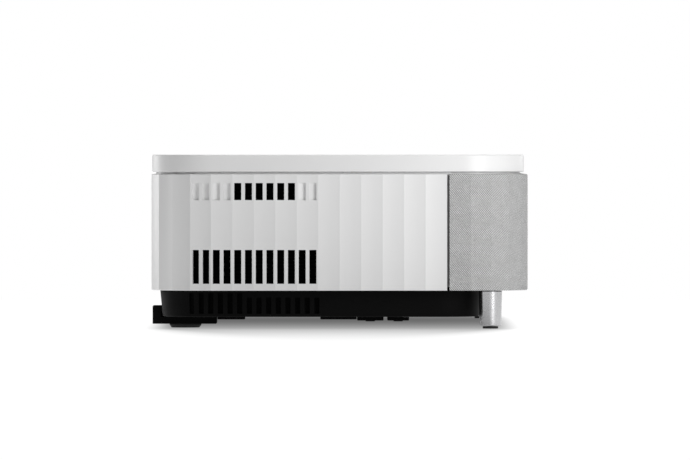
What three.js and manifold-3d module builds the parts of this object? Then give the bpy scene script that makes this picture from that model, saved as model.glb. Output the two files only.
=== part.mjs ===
// Ultra-short-throw home projector, in millimetres: +Z up, -Y the front with the cloth cover,
// +Y the rear with the sockets, origin on the floor under the middle of the body.
import * as THREE from "three";
import { mergeVertices } from "three/addons/utils/BufferGeometryUtils.js";
import Module from "manifold-3d";

const wasm = await Module();
wasm.setup();

// ---------------------------------------------------------------- driving dimensions

const width = 695; // left to right
const depth = 341; // front cover to rear wall
const cornerRadius = 58; // plan radius of the four corners
const groundGap = 10.5; // floor to the underside of the base
const baseHeight = 24; // black base under the white shell
const shellHeight = 105; // white shell and front cover
const lidGap = 2; // shadow gap under the lid
const lidHeight = 15.5;
const wall = 3; // moulded case walls
const baseWall = 2.5; // walls and floor of the base tub
const clearance = 0.5; // around pieces that move or lift off
const fit = 0.3; // between fixed pieces that touch
const flutePitch = 19.35; // wanted width of one flute
const fluteDip = 0.5; // how far the middle of a flute lies in
const coverReach = 71.4; // how far the front cover wraps back along the sides
const seam = 2.2; // gap between the front cover and the shell
const clothThickness = 1;

// heights of the stacked pieces
const shellZ = groundGap + baseHeight;
const shellTop = shellZ + shellHeight;
const lidZ = shellTop + lidGap;
const lidTop = lidZ + lidHeight;

// ---------------------------------------------------------------- solids

// A closed geometry as a manifold-3d solid.
function solid(geometry) {
  const bare = geometry.clone();
  bare.deleteAttribute("normal");
  bare.deleteAttribute("uv");
  const merged = mergeVertices(bare, 1e-4);
  const mesh = { numProp: 3, vertProperties: merged.attributes.position.array };
  return new wasm.Manifold(
    new wasm.Mesh({ ...mesh, triVerts: new Uint32Array(merged.index.array) }),
  );
}

// A manifold-3d solid as a geometry.
function geometryOf(made) {
  const mesh = made.getMesh();
  return new THREE.BufferGeometry()
    .setAttribute("position", new THREE.BufferAttribute(mesh.vertProperties, 3))
    .setIndex(new THREE.BufferAttribute(mesh.triVerts, 1));
}

const joined = (first, ...more) => more.reduce((a, b) => a.add(b), first);
const without = (first, ...more) => more.reduce((a, b) => a.subtract(b), first);

// A box between two corners.
function block(x0, x1, y0, y1, z0, z1) {
  const geometry = new THREE.BoxGeometry(x1 - x0, y1 - y0, z1 - z0);
  return solid(geometry.translate((x0 + x1) / 2, (y0 + y1) / 2, (z0 + z1) / 2));
}

// A plan outline raised from z0 to z1.
function slab(shape, z0, z1, curveSegments = 7) {
  const options = { depth: z1 - z0, bevelEnabled: false, curveSegments };
  return solid(new THREE.ExtrudeGeometry(shape, options).translate(0, 0, z0));
}

// A cylinder that starts at a point and runs along +X, +Y or +Z.
function rod(axis, radius, length, x, y, z, sides = 18) {
  const geometry = new THREE.CylinderGeometry(radius, radius, length, sides);
  geometry.translate(0, length / 2, 0);
  return solid(turned(geometry, axis).translate(x, y, z));
}

// Turns a geometry that stands along +Y so that it stands along the named axis.
function turned(geometry, axis) {
  if (axis === "x") geometry.rotateZ(-Math.PI / 2);
  if (axis === "z") geometry.rotateX(Math.PI / 2);
  return geometry;
}

// A profile of [radius, height] pairs, listed from the bottom up, spun about the named axis.
function spun(profile, axis, x, y, z, sides = 20) {
  const points = profile.map(([r, h]) => new THREE.Vector2(r, h));
  return solid(turned(new THREE.LatheGeometry(points, sides), axis).translate(x, y, z));
}

// A frustum between two rectangles with round corners: {x, y, r} are half sizes and the radius.
function frustum(low, high, z0, z1, centreY = 0, segments = 4) {
  const ring = ({ x, y, r }, z) => {
    const points = [];
    for (let i = 0; i < 4 * (segments + 1); i++) {
      const quarter = Math.floor(i / (segments + 1));
      const angle = (Math.PI / 2) * (quarter + (i % (segments + 1)) / segments);
      const sx = quarter === 0 || quarter === 3 ? 1 : -1;
      const sy = quarter < 2 ? 1 : -1;
      points.push([sx * (x - r) + r * Math.cos(angle), centreY + sy * (y - r) + r * Math.sin(angle), z]);
    }
    return points;
  };
  const lower = ring(low, z0);
  const upper = ring(high, z1);
  const count = lower.length;
  const position = [...lower, ...upper, [0, centreY, z0], [0, centreY, z1]].flat();
  const index = [];
  for (let i = 0; i < count; i++) {
    const next = (i + 1) % count;
    index.push(i, next, count + next, i, count + next, count + i);
    index.push(2 * count, next, i, 2 * count + 1, count + i, count + next);
  }
  const geometry = new THREE.BufferGeometry();
  geometry.setAttribute("position", new THREE.Float32BufferAttribute(position, 3));
  return solid(geometry.setIndex(index));
}

// ---------------------------------------------------------------- plan outlines

const straight = width / 2 - cornerRadius; // half of the straight rear edge
const arc = (Math.PI / 2) * cornerRadius;

// A point of the body's outline: `along` runs from the middle of the rear edge, positive to +X.
function rimPoint(along, inset = 0) {
  const side = along < 0 ? -1 : 1;
  const run = Math.abs(along);
  const radius = cornerRadius - inset;
  if (run < straight) return new THREE.Vector2(along, depth / 2 - inset);
  if (run > straight + arc) {
    const past = run - straight - arc;
    return new THREE.Vector2(side * (width / 2 - inset), depth / 2 - cornerRadius - past);
  }
  const angle = (run - straight) / cornerRadius;
  const x = straight + radius * Math.sin(angle);
  const y = depth / 2 - cornerRadius + radius * Math.cos(angle);
  return new THREE.Vector2(side * x, y);
}

// Points of the outline at every flute ridge, with the low middle of each flute if dip is set.
function rimPath(reach, flutes, inset, dip = null) {
  const path = [];
  for (let i = 0; i <= flutes; i++) {
    const along = reach * ((2 * i) / flutes - 1);
    const ridge = rimPoint(along, inset);
    if (i > 0 && dip !== null) {
      const last = path[path.length - 1];
      const chord = new THREE.Vector2().subVectors(ridge, last).normalize();
      const middle = new THREE.Vector2().addVectors(last, ridge).multiplyScalar(0.5);
      path.push(middle.add(new THREE.Vector2(-chord.y, chord.x).multiplyScalar(-dip)));
    }
    path.push(ridge);
  }
  return path;
}

// A wall that follows the outline, with its ends at +-reach from the middle of the rear edge.
function rimWall(reach, flutes, outer, inner, z0, z1, dip = null) {
  const path = rimPath(reach, flutes, outer, dip).concat(rimPath(reach, flutes, inner).reverse());
  return slab(new THREE.Shape(path), z0, z1);
}

// The rounded rectangle of the body's plan, drawn in by a different amount on each side.
function plan(sides, rear, front, radius = cornerRadius - Math.min(sides, rear, front)) {
  const x = width / 2 - sides;
  const y0 = -depth / 2 + front;
  const y1 = depth / 2 - rear;
  return new THREE.Shape()
    .absarc(x - radius, y1 - radius, radius, 0, Math.PI / 2)
    .absarc(-x + radius, y1 - radius, radius, Math.PI / 2, Math.PI)
    .absarc(-x + radius, y0 + radius, radius, Math.PI, 1.5 * Math.PI)
    .absarc(x - radius, y0 + radius, radius, 1.5 * Math.PI, 2 * Math.PI);
}

// The shell runs round the rear; the front cover has the same outline turned to the front.
const shellReach = straight + arc + depth - cornerRadius - coverReach - seam;
const coverPathReach = straight + arc + coverReach - cornerRadius;
const shellFlutes = 2 * Math.round(shellReach / flutePitch - 0.5) + 1;
const coverFlutes = 2 * Math.round(coverPathReach / flutePitch - 0.5) + 1;
const shellPitch = (2 * shellReach) / shellFlutes;
const coverPitch = (2 * coverPathReach) / coverFlutes;

// Where something stands on the shell: the middle of a flute, counted from the seam, and a shift.
// side is -1 on the left and 1 on the right; the result has the point and the wall's own angle.
function onShell(side, flute, shift = 0) {
  const from = rimPoint(side * (shellReach - flute * shellPitch));
  const to = rimPoint(side * (shellReach - (flute + 1) * shellPitch));
  const along = new THREE.Vector2().subVectors(to, from).normalize();
  const middle = new THREE.Vector2().addVectors(from, to).multiplyScalar(0.5);
  return { point: middle.addScaledVector(along, shift), angle: Math.atan2(along.y, along.x) };
}

// A box across the shell's wall there: `inward` and `outward` are how far it runs each way.
function wallCutter(place, breadth, inward, outward, z0, z1) {
  const side = place.point.x < 0 ? 1 : -1; // which way is inward, across the wall
  const geometry = new THREE.BoxGeometry(breadth, inward + outward, z1 - z0);
  geometry.translate(0, (inward - outward) / 2, 0);
  if (side > 0) geometry.rotateZ(Math.PI);
  geometry.rotateZ(place.angle);
  return solid(geometry.translate(place.point.x, place.point.y, (z0 + z1) / 2));
}

// ---------------------------------------------------------------- the scene graph

const part = new THREE.Group();

const paints = {
  whitePlastic: { color: 0xd9d9d9, roughness: 0.45, metalness: 0 },
  blackPlastic: { color: 0x0c0c0d, roughness: 0.55, metalness: 0 },
  cloth: { color: 0xa9a9a8, roughness: 0.95, metalness: 0 },
  rubber: { color: 0x101010, roughness: 0.9, metalness: 0 },
  satinMetal: { color: 0xb9babc, roughness: 0.28, metalness: 1 },
  castMetal: { color: 0x5b5d60, roughness: 0.6, metalness: 0.8 },
  glass: { color: 0x14202a, roughness: 0.05, metalness: 0 },
  mirror: { color: 0xe8eef2, roughness: 0.02, metalness: 1 },
  board: { color: 0x0d4a2c, roughness: 0.5, metalness: 0 },
  brass: { color: 0xb08a3e, roughness: 0.35, metalness: 1 },
  yellow: { color: 0xd8b020, roughness: 0.5, metalness: 0 },
  foam: { color: 0x2b2d30, roughness: 1, metalness: 0 },
};
const materials = Object.fromEntries(
  Object.entries(paints).map(([name, paint]) => [name, new THREE.MeshStandardMaterial(paint)]),
);

function add(name, made, paint) {
  const mesh = new THREE.Mesh(geometryOf(made), materials[paint]);
  mesh.name = name;
  part.add(mesh);
}

// ---------------------------------------------------------------- vents

const ventFlutes = { first: 6, count: 6 }; // flutes from the seam that carry the side vents
const slotBreadth = 6;
const slotsPerFlute = 2;
const lowVent = { z0: shellZ + 6.4, z1: shellZ + 36.3 };
const highVent = { z0: shellZ + 82, z1: shellZ + 96.6 };
const pocketDepth = 1.3; // the blind slots of the upper row
const openHighSlots = { first: 2, count: 6 }; // of the upper row, counted from the seam

function eachSlot(flutes, use) {
  for (let i = 0; i < flutes.count * slotsPerFlute; i++) {
    const flute = flutes.first + Math.floor(i / slotsPerFlute);
    use(flute, ((i % slotsPerFlute) - 0.5) * (shellPitch / slotsPerFlute), i);
  }
}

// ---------------------------------------------------------------- filter door, on the right side

const doorFlutes = { first: 6, count: 5 };
const door = {
  z0: shellZ + 8,
  z1: shellTop - 10,
  y0: onShell(1, doorFlutes.first, -shellPitch / 2).point.y,
  y1: onShell(1, doorFlutes.first + doorFlutes.count - 1, shellPitch / 2).point.y,
};
const doorFloorGap = 0.8; // under the door, so that it can swing out
const hinge = { x: width / 2 - wall / 2, z: door.z0 + 1.5, pin: 0.8, socket: 1.05, length: 1.6 };
const doorSlots = [
  { z0: door.z0 + 8, z1: door.z0 + 38 },
  { z0: door.z0 + 46, z1: door.z1 - 8 },
];

function filterDoor() {
  const cut = { y0: door.y0 + clearance, y1: door.y1 - clearance };
  let made = rimWall(shellReach, shellFlutes, 0, wall, door.z0, door.z1, fluteDip).intersect(
    block(width / 2 - 2 * wall, width / 2 + wall, cut.y0, cut.y1, door.z0, door.z1),
  );
  eachSlot(doorFlutes, (flute, shift) => {
    const place = onShell(1, flute, shift);
    for (const { z0, z1 } of doorSlots) {
      made = made.subtract(wallCutter(place, slotBreadth, 2 * wall, wall, z0, z1));
    }
  });
  for (const y of [cut.y0 - hinge.length, cut.y1 - clearance]) {
    made = made.add(rod("y", hinge.pin, hinge.length + clearance, hinge.x, y, hinge.z, 12));
  }
  return made;
}

const filter = {
  x1: width / 2 - wall - fit,
  thickness: 12,
  margin: 3.5, // round the filter, inside the door's opening
};
filter.x0 = filter.x1 - filter.thickness;

function airFilter() {
  const y0 = door.y0 + filter.margin;
  const y1 = door.y1 - filter.margin;
  const z0 = door.z0 + filter.margin;
  const z1 = door.z1 - filter.margin;
  const rim = 3;
  const pleats = 9;
  let made = block(filter.x0, filter.x1, y0, y1, z0, z1);
  made = made.subtract(
    block(filter.x0 + rim + 2, filter.x1 + 1, y0 + rim, y1 - rim, z0 + rim, z1 - rim),
  );
  const step = (y1 - y0 - 2 * rim) / pleats;
  for (let i = 0; i < pleats; i++) {
    const y = y0 + rim + (i + 0.5) * step;
    made = made.add(block(filter.x0 + rim, filter.x1 - 1, y - 1, y + 1, z0 + rim / 2, z1 - rim / 2));
  }
  return made;
}

// ---------------------------------------------------------------- rear sockets

const tray = { x: 185, breadth: 150, z0: shellZ + 20, z1: shellZ + 58, depth: 11 };
const inlet = { x: -185, breadth: 31, z: shellZ + 38, height: 25 };
const rearInner = depth / 2 - wall;

// The sockets in the tray: name, place across it, opening width and height, shell thickness.
const sockets = [
  { name: "video_port_1", x: -56, breadth: 14.2, height: 4.9 },
  { name: "video_port_2", x: -26, breadth: 14.2, height: 4.9 },
  { name: "data_port", x: 6, breadth: 13.2, height: 5.8 },
  { name: "audio_port", x: 36, breadth: 7.4, height: 7.4 },
];
const socketWall = 0.8;
const socketLength = 13;
const socketZ = (tray.z0 + tray.z1) / 2;
const trayFloorY = depth / 2 - wall - tray.depth; // front face of the tray's plate
const traySide = 2;

function portTray() {
  const x0 = tray.x - tray.breadth / 2;
  const x1 = tray.x + tray.breadth / 2;
  const side = traySide;
  let made = block(x0, x1, trayFloorY - side, rearInner - fit, tray.z0, tray.z1);
  made = made.subtract(
    block(x0 + side, x1 - side, trayFloorY, depth / 2, tray.z0 + side, tray.z1 - side),
  );
  for (const { x, breadth, height } of sockets) {
    const halfX = breadth / 2 + socketWall + fit;
    const halfZ = height / 2 + socketWall + fit;
    const at = tray.x + x;
    const z = socketZ;
    made = made.subtract(
      block(at - halfX, at + halfX, trayFloorY - 2 * side, trayFloorY + 1, z - halfZ, z + halfZ),
    );
  }
  return made;
}

function socket({ x, breadth, height }) {
  const at = tray.x + x;
  const y1 = trayFloorY + 1;
  const y0 = y1 - socketLength;
  const box = (grow, from, to) =>
    block(at - breadth / 2 - grow, at + breadth / 2 + grow, from, to, socketZ - height / 2 - grow, socketZ + height / 2 + grow);
  return box(socketWall, y0, y1).subtract(box(0, y0 + 2, y1 + 1));
}

function acInlet() {
  const halfX = inlet.breadth / 2;
  const halfZ = inlet.height / 2;
  const face = depth / 2 - 1;
  const length = 24;
  const mouth = { x: 12.2, z: 8.2, depth: 16 };
  let made = block(inlet.x - halfX + fit, inlet.x + halfX - fit, face - length, face, inlet.z - halfZ + fit, inlet.z + halfZ - fit);
  made = made.subtract(
    block(inlet.x - mouth.x, inlet.x + mouth.x, face - mouth.depth, face + 1, inlet.z - mouth.z, inlet.z + mouth.z),
  );
  const blade = { x: 1, z: 2.4, length: 13 };
  const places = [[-7, -2], [0, 3.4], [7, -2]];
  for (const [x, z] of places) {
    made = made.add(
      block(inlet.x + x - blade.x, inlet.x + x + blade.x, face - mouth.depth - 1, face - mouth.depth + blade.length, inlet.z + z - blade.z, inlet.z + z + blade.z),
    );
  }
  return made;
}

// ---------------------------------------------------------------- power button

const button = { flute: 2, z: shellZ + 62, radius: 6.5, travel: 1.2, length: 7, flange: 1.6 };
button.y = onShell(1, button.flute).point.y;

function powerButton() {
  const face = width / 2 - fluteDip - 0.1;
  const cap = rod("x", button.radius, button.length, face - button.length, button.y, button.z);
  const flangeX = width / 2 - wall - clearance - button.flange;
  const ring = rod("x", button.radius + 2, button.flange, flangeX, button.y, button.z);
  return cap.add(ring);
}

// ---------------------------------------------------------------- outer shell

function outerShell() {
  let made = rimWall(shellReach, shellFlutes, 0, wall, shellZ, shellTop, fluteDip);
  eachSlot(ventFlutes, (flute, shift, i) => {
    const place = onShell(-1, flute, shift);
    const through = (row) => wallCutter(place, slotBreadth, 2 * wall, wall, row.z0, row.z1);
    const open = i >= openHighSlots.first && i < openHighSlots.first + openHighSlots.count;
    const pocket = wallCutter(place, slotBreadth, pocketDepth, wall, highVent.z0, highVent.z1);
    made = without(made, through(lowVent), open ? through(highVent) : pocket);
  });
  const doorway = block(
    width / 2 - 2 * wall, width / 2 + wall, door.y0, door.y1, door.z0 - doorFloorGap, door.z1 + 1,
  );
  const holes = [doorway];
  for (const y of [door.y0 - hinge.length - clearance, door.y1 - clearance]) {
    holes.push(rod("y", hinge.socket, hinge.length + 2 * clearance, hinge.x, y, hinge.z, 12));
  }
  holes.push(rod("x", button.radius + clearance, 4 * wall, width / 2 - 2 * wall, button.y, button.z));
  const opening = (x, breadth, z0, z1) =>
    block(x - breadth / 2, x + breadth / 2, rearInner - wall, depth / 2 + wall, z0, z1);
  holes.push(opening(tray.x, tray.breadth - 2 * traySide, tray.z0 + traySide, tray.z1 - traySide));
  holes.push(opening(inlet.x, inlet.breadth, inlet.z - inlet.height / 2, inlet.z + inlet.height / 2));
  return without(made, ...holes);
}

// ---------------------------------------------------------------- front cover

const turnToFront = (made) => made.rotate([0, 0, 180]);
const coverFrame = { outer: clothThickness + fit, inner: clothThickness + fit + wall };
const coverSlot = { breadth: 11, margin: 10 };

function frontGrille() {
  const { outer, inner } = coverFrame;
  const grid = rimWall(coverPathReach, coverFlutes, outer, inner, shellZ, shellTop, fluteDip);
  const holes = [];
  const slots = Math.floor((2 * straight) / coverPitch) - 1;
  for (let i = 0; i < slots; i++) {
    const x = (i - (slots - 1) / 2) * coverPitch;
    const y = depth / 2;
    const half = coverSlot.breadth / 2;
    holes.push(
      block(x - half, x + half, y - 3 * wall, y, shellZ + coverSlot.margin, shellTop - coverSlot.margin),
    );
  }
  return turnToFront(without(grid, ...holes));
}

function grilleCloth() {
  const sheet = rimWall(coverPathReach, coverFlutes, 0, clothThickness, shellZ, shellTop, fluteDip);
  return turnToFront(sheet);
}

// ---------------------------------------------------------------- lid, its shutter and the lens well

const lidSkin = 3; // thickness of the lid's top
const well = { x: 100, y0: -6, y1: 114, radius: 14 }; // the opening in the lid, half width in x
well.centreY = (well.y0 + well.y1) / 2;
well.halfY = (well.y1 - well.y0) / 2;
const lidInset = { sides: 2.4, rear: 0.8, front: 3.6 };
const neckInset = { sides: 5.6, rear: 4.4, front: 7 };
const neckBreadth = 9;
const neckDrop = 8; // how far the neck reaches down inside the shell

function lidOpening(grow, z0, z1) {
  const half = { x: well.x + grow, y: well.halfY + grow, r: well.radius + grow };
  return frustum(half, half, z0, z1, well.centreY);
}

function topLid() {
  const { sides, rear, front } = lidInset;
  const radius = cornerRadius - sides;
  const rim = 7.5;
  const outside = slab(plan(sides, rear, front, radius), lidZ, lidTop);
  const hollow = slab(
    plan(sides + rim, rear + rim, front + rim, radius - rim), lidZ - 1, lidTop - lidSkin,
  );
  const shell = without(outside, hollow, lidOpening(0, lidZ, lidTop + 1));
  return joined(shell, shutterRail(-1), shutterRail(1));
}

const beam = { x: well.x + 53, breadth: 14, z0: shellTop - neckDrop, z1: shellTop };
const saddle = { x0: well.x + 18, half: 11, drop: 12, bore: 9.3 }; // carries the shutter motor

function topFrame() {
  const { sides, rear, front } = neckInset;
  const radius = cornerRadius - sides;
  const outside = slab(plan(sides, rear, front, radius), shellTop - neckDrop, lidZ - fit);
  const inset = neckBreadth;
  const inside = slab(
    plan(sides + inset, rear + inset, front + inset, radius - inset), shellTop - neckDrop - 1, lidZ,
  );
  const ends = { y0: -depth / 2 + front + inset / 2, y1: depth / 2 - rear - inset / 2 };
  const beams = [-1, 1].map((side) => {
    const x = side * beam.x;
    return block(x - beam.breadth / 2, x + beam.breadth / 2, ends.y0, ends.y1, beam.z0, beam.z1);
  });
  const across = block(-beam.x, beam.x, well.y1 + 6, well.y1 + 16, beam.z0, beam.z1);
  const seat = block(
    saddle.x0, beam.x, pinion.y - saddle.half, pinion.y + saddle.half, pinion.z - saddle.drop, beam.z1,
  ).subtract(rod("x", saddle.bore, beam.x - beam.breadth / 2 - saddle.x0 + 1, saddle.x0 - 1, pinion.y, pinion.z));
  return joined(outside.subtract(inside), ...beams, across, seat);
}

const shutter = {
  x: well.x + 16,
  thickness: 2.4,
  z1: lidTop - lidSkin - 0.6,
  overlap: 4, // past the lid's opening, front and rear
  travel: 0,
};
shutter.z0 = shutter.z1 - shutter.thickness;
shutter.length = 2 * (well.halfY + shutter.overlap);
shutter.travel = shutter.length - shutter.overlap;
shutter.openY1 = well.y1 + shutter.overlap - shutter.travel;

function shutterPanel() {
  const y0 = shutter.openY1 - shutter.length;
  const plate = block(-shutter.x, shutter.x, y0, shutter.openY1, shutter.z0, shutter.z1);
  const grip = { x: 26, y: 5, depth: 1 };
  const y = shutter.openY1 - 14;
  const dent = block(-grip.x, grip.x, y - grip.y, y + grip.y, shutter.z1 - grip.depth, lidTop);
  return plate.subtract(dent);
}

const rail = { grip: 3, web: 2.2, flange: 1.8 };

// The channel under the lid that one side edge of the shutter runs in.
function shutterRail(side) {
  const inner = shutter.x - rail.grip;
  const outer = shutter.x + clearance + rail.web;
  const y0 = shutter.openY1 - shutter.length - 2;
  const y1 = well.y1 + shutter.overlap + 2;
  const z0 = shutter.z0 - clearance;
  const top = lidTop - lidSkin + 0.5; // rooted in the lid's skin
  const channel = block(inner, outer, y0, y1, z0 - rail.flange, top);
  const groove = block(inner - 1, shutter.x + clearance, y0 - 1, y1 + 1, z0, lidTop - lidSkin);
  const made = channel.subtract(groove);
  return side > 0 ? made : made.mirror([1, 0, 0]);
}

// Well: a funnel that narrows to the window's frame.
const wellTopZ = shutter.z0 - clearance - 1;
const wellFloor = { z: shellTop - 25, x: 76, y: 42, radius: 8, thickness: 3 };
const wellWall = 2.4;

function lensWell() {
  const top = { x: well.x, y: well.halfY, r: well.radius };
  const floor = { x: wellFloor.x, y: wellFloor.y, r: wellFloor.radius };
  const grown = ({ x, y, r }, by) => ({ x: x + by, y: y + by, r: r + by });
  const outside = frustum(
    grown(floor, wellWall), grown(top, wellWall), wellFloor.z, wellTopZ, well.centreY,
  );
  const floorTop = wellFloor.z + wellFloor.thickness;
  const past = (wellTopZ + 1 - floorTop) / (wellTopZ - floorTop); // carries the taper 1 mm further
  const wider = (key) => floor[key] + (top[key] - floor[key]) * past;
  const over = { x: wider("x"), y: wider("y"), r: wider("r") };
  const inside = frustum(floor, over, floorTop, wellTopZ + 1, well.centreY);
  const window = { x: wellFloor.x - 6, y: wellFloor.y - 5, r: 5 };
  const hole = frustum(window, window, wellFloor.z - 1, wellTopZ, well.centreY);
  const ears = block(
    -beam.x - 5, beam.x + 5, well.centreY - 14, well.centreY + 14, beam.z1 + fit, beam.z1 + fit + 2.5,
  );
  return without(joined(outside, ears), inside, hole);
}

function projectionWindow() {
  const pane = { x: wellFloor.x - 1, y: wellFloor.y - 1, r: 5 };
  const z0 = wellFloor.z + wellFloor.thickness + fit;
  return frustum(pane, pane, z0, z0 + 2.5, well.centreY);
}

// ---------------------------------------------------------------- gears

const pressureAngle = (20 * Math.PI) / 180;
const backlash = 0.3;
const involute = (angle) => Math.tan(angle) - angle;

// Outline of an involute spur gear. `cut` of its teeth stand, the first centred on angle `start`.
function gearOutline(modulus, teeth, start, cut = teeth) {
  const pitchR = (modulus * teeth) / 2;
  const baseR = pitchR * Math.cos(pressureAngle);
  const tipR = pitchR + 0.9 * modulus;
  const rootR = pitchR - 1.25 * modulus;
  const half = (radius) => {
    const angle = Math.acos(Math.min(1, baseR / radius));
    const atPitch = Math.PI / (2 * teeth) - backlash / (2 * pitchR);
    return atPitch + involute(pressureAngle) - involute(angle);
  };
  const radii = [rootR, Math.max(rootR, baseR), (Math.max(rootR, baseR) + tipR) / 2, tipR];
  const points = [];
  for (let i = 0; i < teeth; i++) {
    const centre = start + (i * 2 * Math.PI) / teeth;
    if (i >= cut) {
      points.push(polar(rootR, centre));
      continue;
    }
    radii.forEach((r) => points.push(polar(r, centre - half(r))));
    [...radii].reverse().forEach((r) => points.push(polar(r, centre + half(r))));
  }
  return new THREE.Shape(points);
}

const polar = (r, angle) => new THREE.Vector2(r * Math.cos(angle), r * Math.sin(angle));

// Rack under the shutter, driven by a pinion on a cross axis.
const rack = { modulus: 1.25, x0: well.x + 6.5, breadth: 6 };
const pinion = { teeth: 18, y: 0, z: 0, bore: 1.7 };
rack.pitch = Math.PI * rack.modulus;
pinion.radius = (rack.modulus * pinion.teeth) / 2;
rack.z1 = shutter.z0;
rack.bodyHeight = 2.2;
rack.pitchZ = rack.z1 - rack.bodyHeight - 1.25 * rack.modulus;
pinion.z = rack.pitchZ - pinion.radius - 0.1;
pinion.y = shutter.openY1 - pinion.radius - 3;
rack.teeth = Math.ceil(shutter.travel / rack.pitch) + 5;

function shutterRack() {
  const half = (height) => rack.pitch / 4 - backlash / 2 - height * Math.tan(pressureAngle);
  const tip = 0.9 * rack.modulus;
  const root = -1.25 * rack.modulus;
  const outline = [];
  const last = pinion.y + rack.pitch * 2.5; // the tooth nearest the rear
  const first = last - rack.pitch * (rack.teeth - 1);
  outline.push([first - rack.pitch / 2, rack.z1 + 0.5], [first - rack.pitch / 2, rack.pitchZ - root]);
  for (let i = 0; i < rack.teeth; i++) {
    const y = first + i * rack.pitch;
    outline.push([y - half(root), rack.pitchZ - root], [y - half(tip), rack.pitchZ - tip]);
    outline.push([y + half(tip), rack.pitchZ - tip], [y + half(root), rack.pitchZ - root]);
  }
  outline.push([last + rack.pitch / 2, rack.pitchZ - root], [last + rack.pitch / 2, rack.z1 + 0.5]);
  const shape = new THREE.Shape(outline.map(([y, z]) => new THREE.Vector2(y, z)));
  const geometry = new THREE.ExtrudeGeometry(shape, { depth: rack.breadth, bevelEnabled: false });
  geometry.rotateX(Math.PI / 2).rotateZ(Math.PI / 2); // (y, z, out) to the part's axes
  const bar = solid(geometry.translate(rack.x0, 0, 0));
  const keep = block(rack.x0 - 1, rack.x0 + 9, -depth, depth, shellTop - 40, rack.z1 - fit);
  return bar.intersect(keep);
}

function shutterPinion() {
  const shape = gearOutline(rack.modulus, pinion.teeth, Math.PI / 2);
  const geometry = new THREE.ExtrudeGeometry(shape, { depth: rack.breadth, bevelEnabled: false });
  geometry.rotateX(Math.PI / 2).rotateZ(Math.PI / 2);
  const gear = solid(geometry.translate(rack.x0, pinion.y, pinion.z));
  return gear.subtract(rod("x", pinion.bore, 20, rack.x0 - 5, pinion.y, pinion.z, 16));
}

function shutterMotor() {
  const face = rack.x0 + rack.breadth + 1;
  const can = rod("x", 9, 26, face, pinion.y, pinion.z);
  const shaft = rod("x", pinion.bore - 0.2, rack.breadth + 4, face - rack.breadth - 2, pinion.y, pinion.z, 16);
  return can.add(shaft);
}

// ---------------------------------------------------------------- lens, mirror and focus drive

const lens = { z: shellZ + 37.5, front: 34, rear: 112 };
const barrel = { radius: 29, bore: 25, step: 22, gearSeat: { y0: 84, y1: 94, radius: 27 } };

function lensBarrel() {
  const length = lens.rear - lens.front;
  const seat0 = barrel.gearSeat.y0 - lens.front;
  const seat1 = barrel.gearSeat.y1 - lens.front;
  const profile = [
    [barrel.bore, 0], [barrel.radius + 3, 0], [barrel.radius + 3, 6], [barrel.radius, 8],
    [barrel.radius, seat0 - 1], [barrel.gearSeat.radius, seat0 - 1], [barrel.gearSeat.radius, seat1 + 3],
    [barrel.step, seat1 + 5], [barrel.step, length], [barrel.step - 4, length],
    [barrel.step - 4, length - 8], [barrel.bore, length - 12], [barrel.bore, 0],
  ];
  return spun(profile, "y", 0, lens.front, lens.z);
}

function bulgingLens(radius, edge, bulge, y) {
  const profile = [
    [0, -bulge], [radius * 0.55, -bulge * 0.7], [radius, 0], [radius, edge],
    [radius * 0.55, edge + bulge * 0.4], [0, edge + bulge * 0.55],
  ];
  return spun(profile, "y", 0, y, lens.z);
}

const focus = { slide: 1.5, swing: 15, teeth: 72, modulus: 1, sector: 16 };
const cell = { y: 62, length: 10, radius: barrel.bore - 0.3, bore: 20 };

function focusCell() {
  const { radius, length, bore } = cell;
  const profile = [[bore, 0], [radius, 0], [radius, length], [bore, length], [bore, 0]];
  return spun(profile, "y", 0, cell.y, lens.z);
}

const focusMotor = { teeth: 14, bore: 1.7 };
focusMotor.distance = (focus.modulus * (focus.teeth + focusMotor.teeth)) / 2 + 0.15;

// A gear outline that lies across the lens axis, from y0 on.
function gearAcrossLens(shape, x, y0, length) {
  const geometry = new THREE.ExtrudeGeometry(shape, { depth: length, bevelEnabled: false });
  geometry.rotateX(Math.PI / 2); // its own (x, y) become (x, z), and it runs along -Y
  return solid(geometry.translate(x, y0 + length, lens.z));
}

const gearFace = { y0: barrel.gearSeat.y0 + 1, length: 7 };

function focusRing() {
  const step = (2 * Math.PI) / focus.teeth;
  const start = Math.PI - ((focus.sector - 1) / 2) * step; // a gap faces the pinion
  const shape = gearOutline(focus.modulus, focus.teeth, start, focus.sector);
  const ring = gearAcrossLens(shape, 0, gearFace.y0, gearFace.length);
  const bore = barrel.gearSeat.radius + 0.6;
  return ring.subtract(rod("y", bore, 30, 0, gearFace.y0 - 10, lens.z, 24));
}

function focusPinion() {
  const shape = gearOutline(focus.modulus, focusMotor.teeth, 0);
  const made = gearAcrossLens(shape, -focusMotor.distance, gearFace.y0, gearFace.length);
  return made.subtract(rod("y", focusMotor.bore, 30, -focusMotor.distance, gearFace.y0 - 10, lens.z, 16));
}

function focusMotorBody() {
  const x = -focusMotor.distance;
  const can = rod("y", 9, 24, x, gearFace.y0 - 25, lens.z);
  return can.add(rod("y", focusMotor.bore - 0.2, 10, x, gearFace.y0 - 2, lens.z, 16));
}

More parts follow.
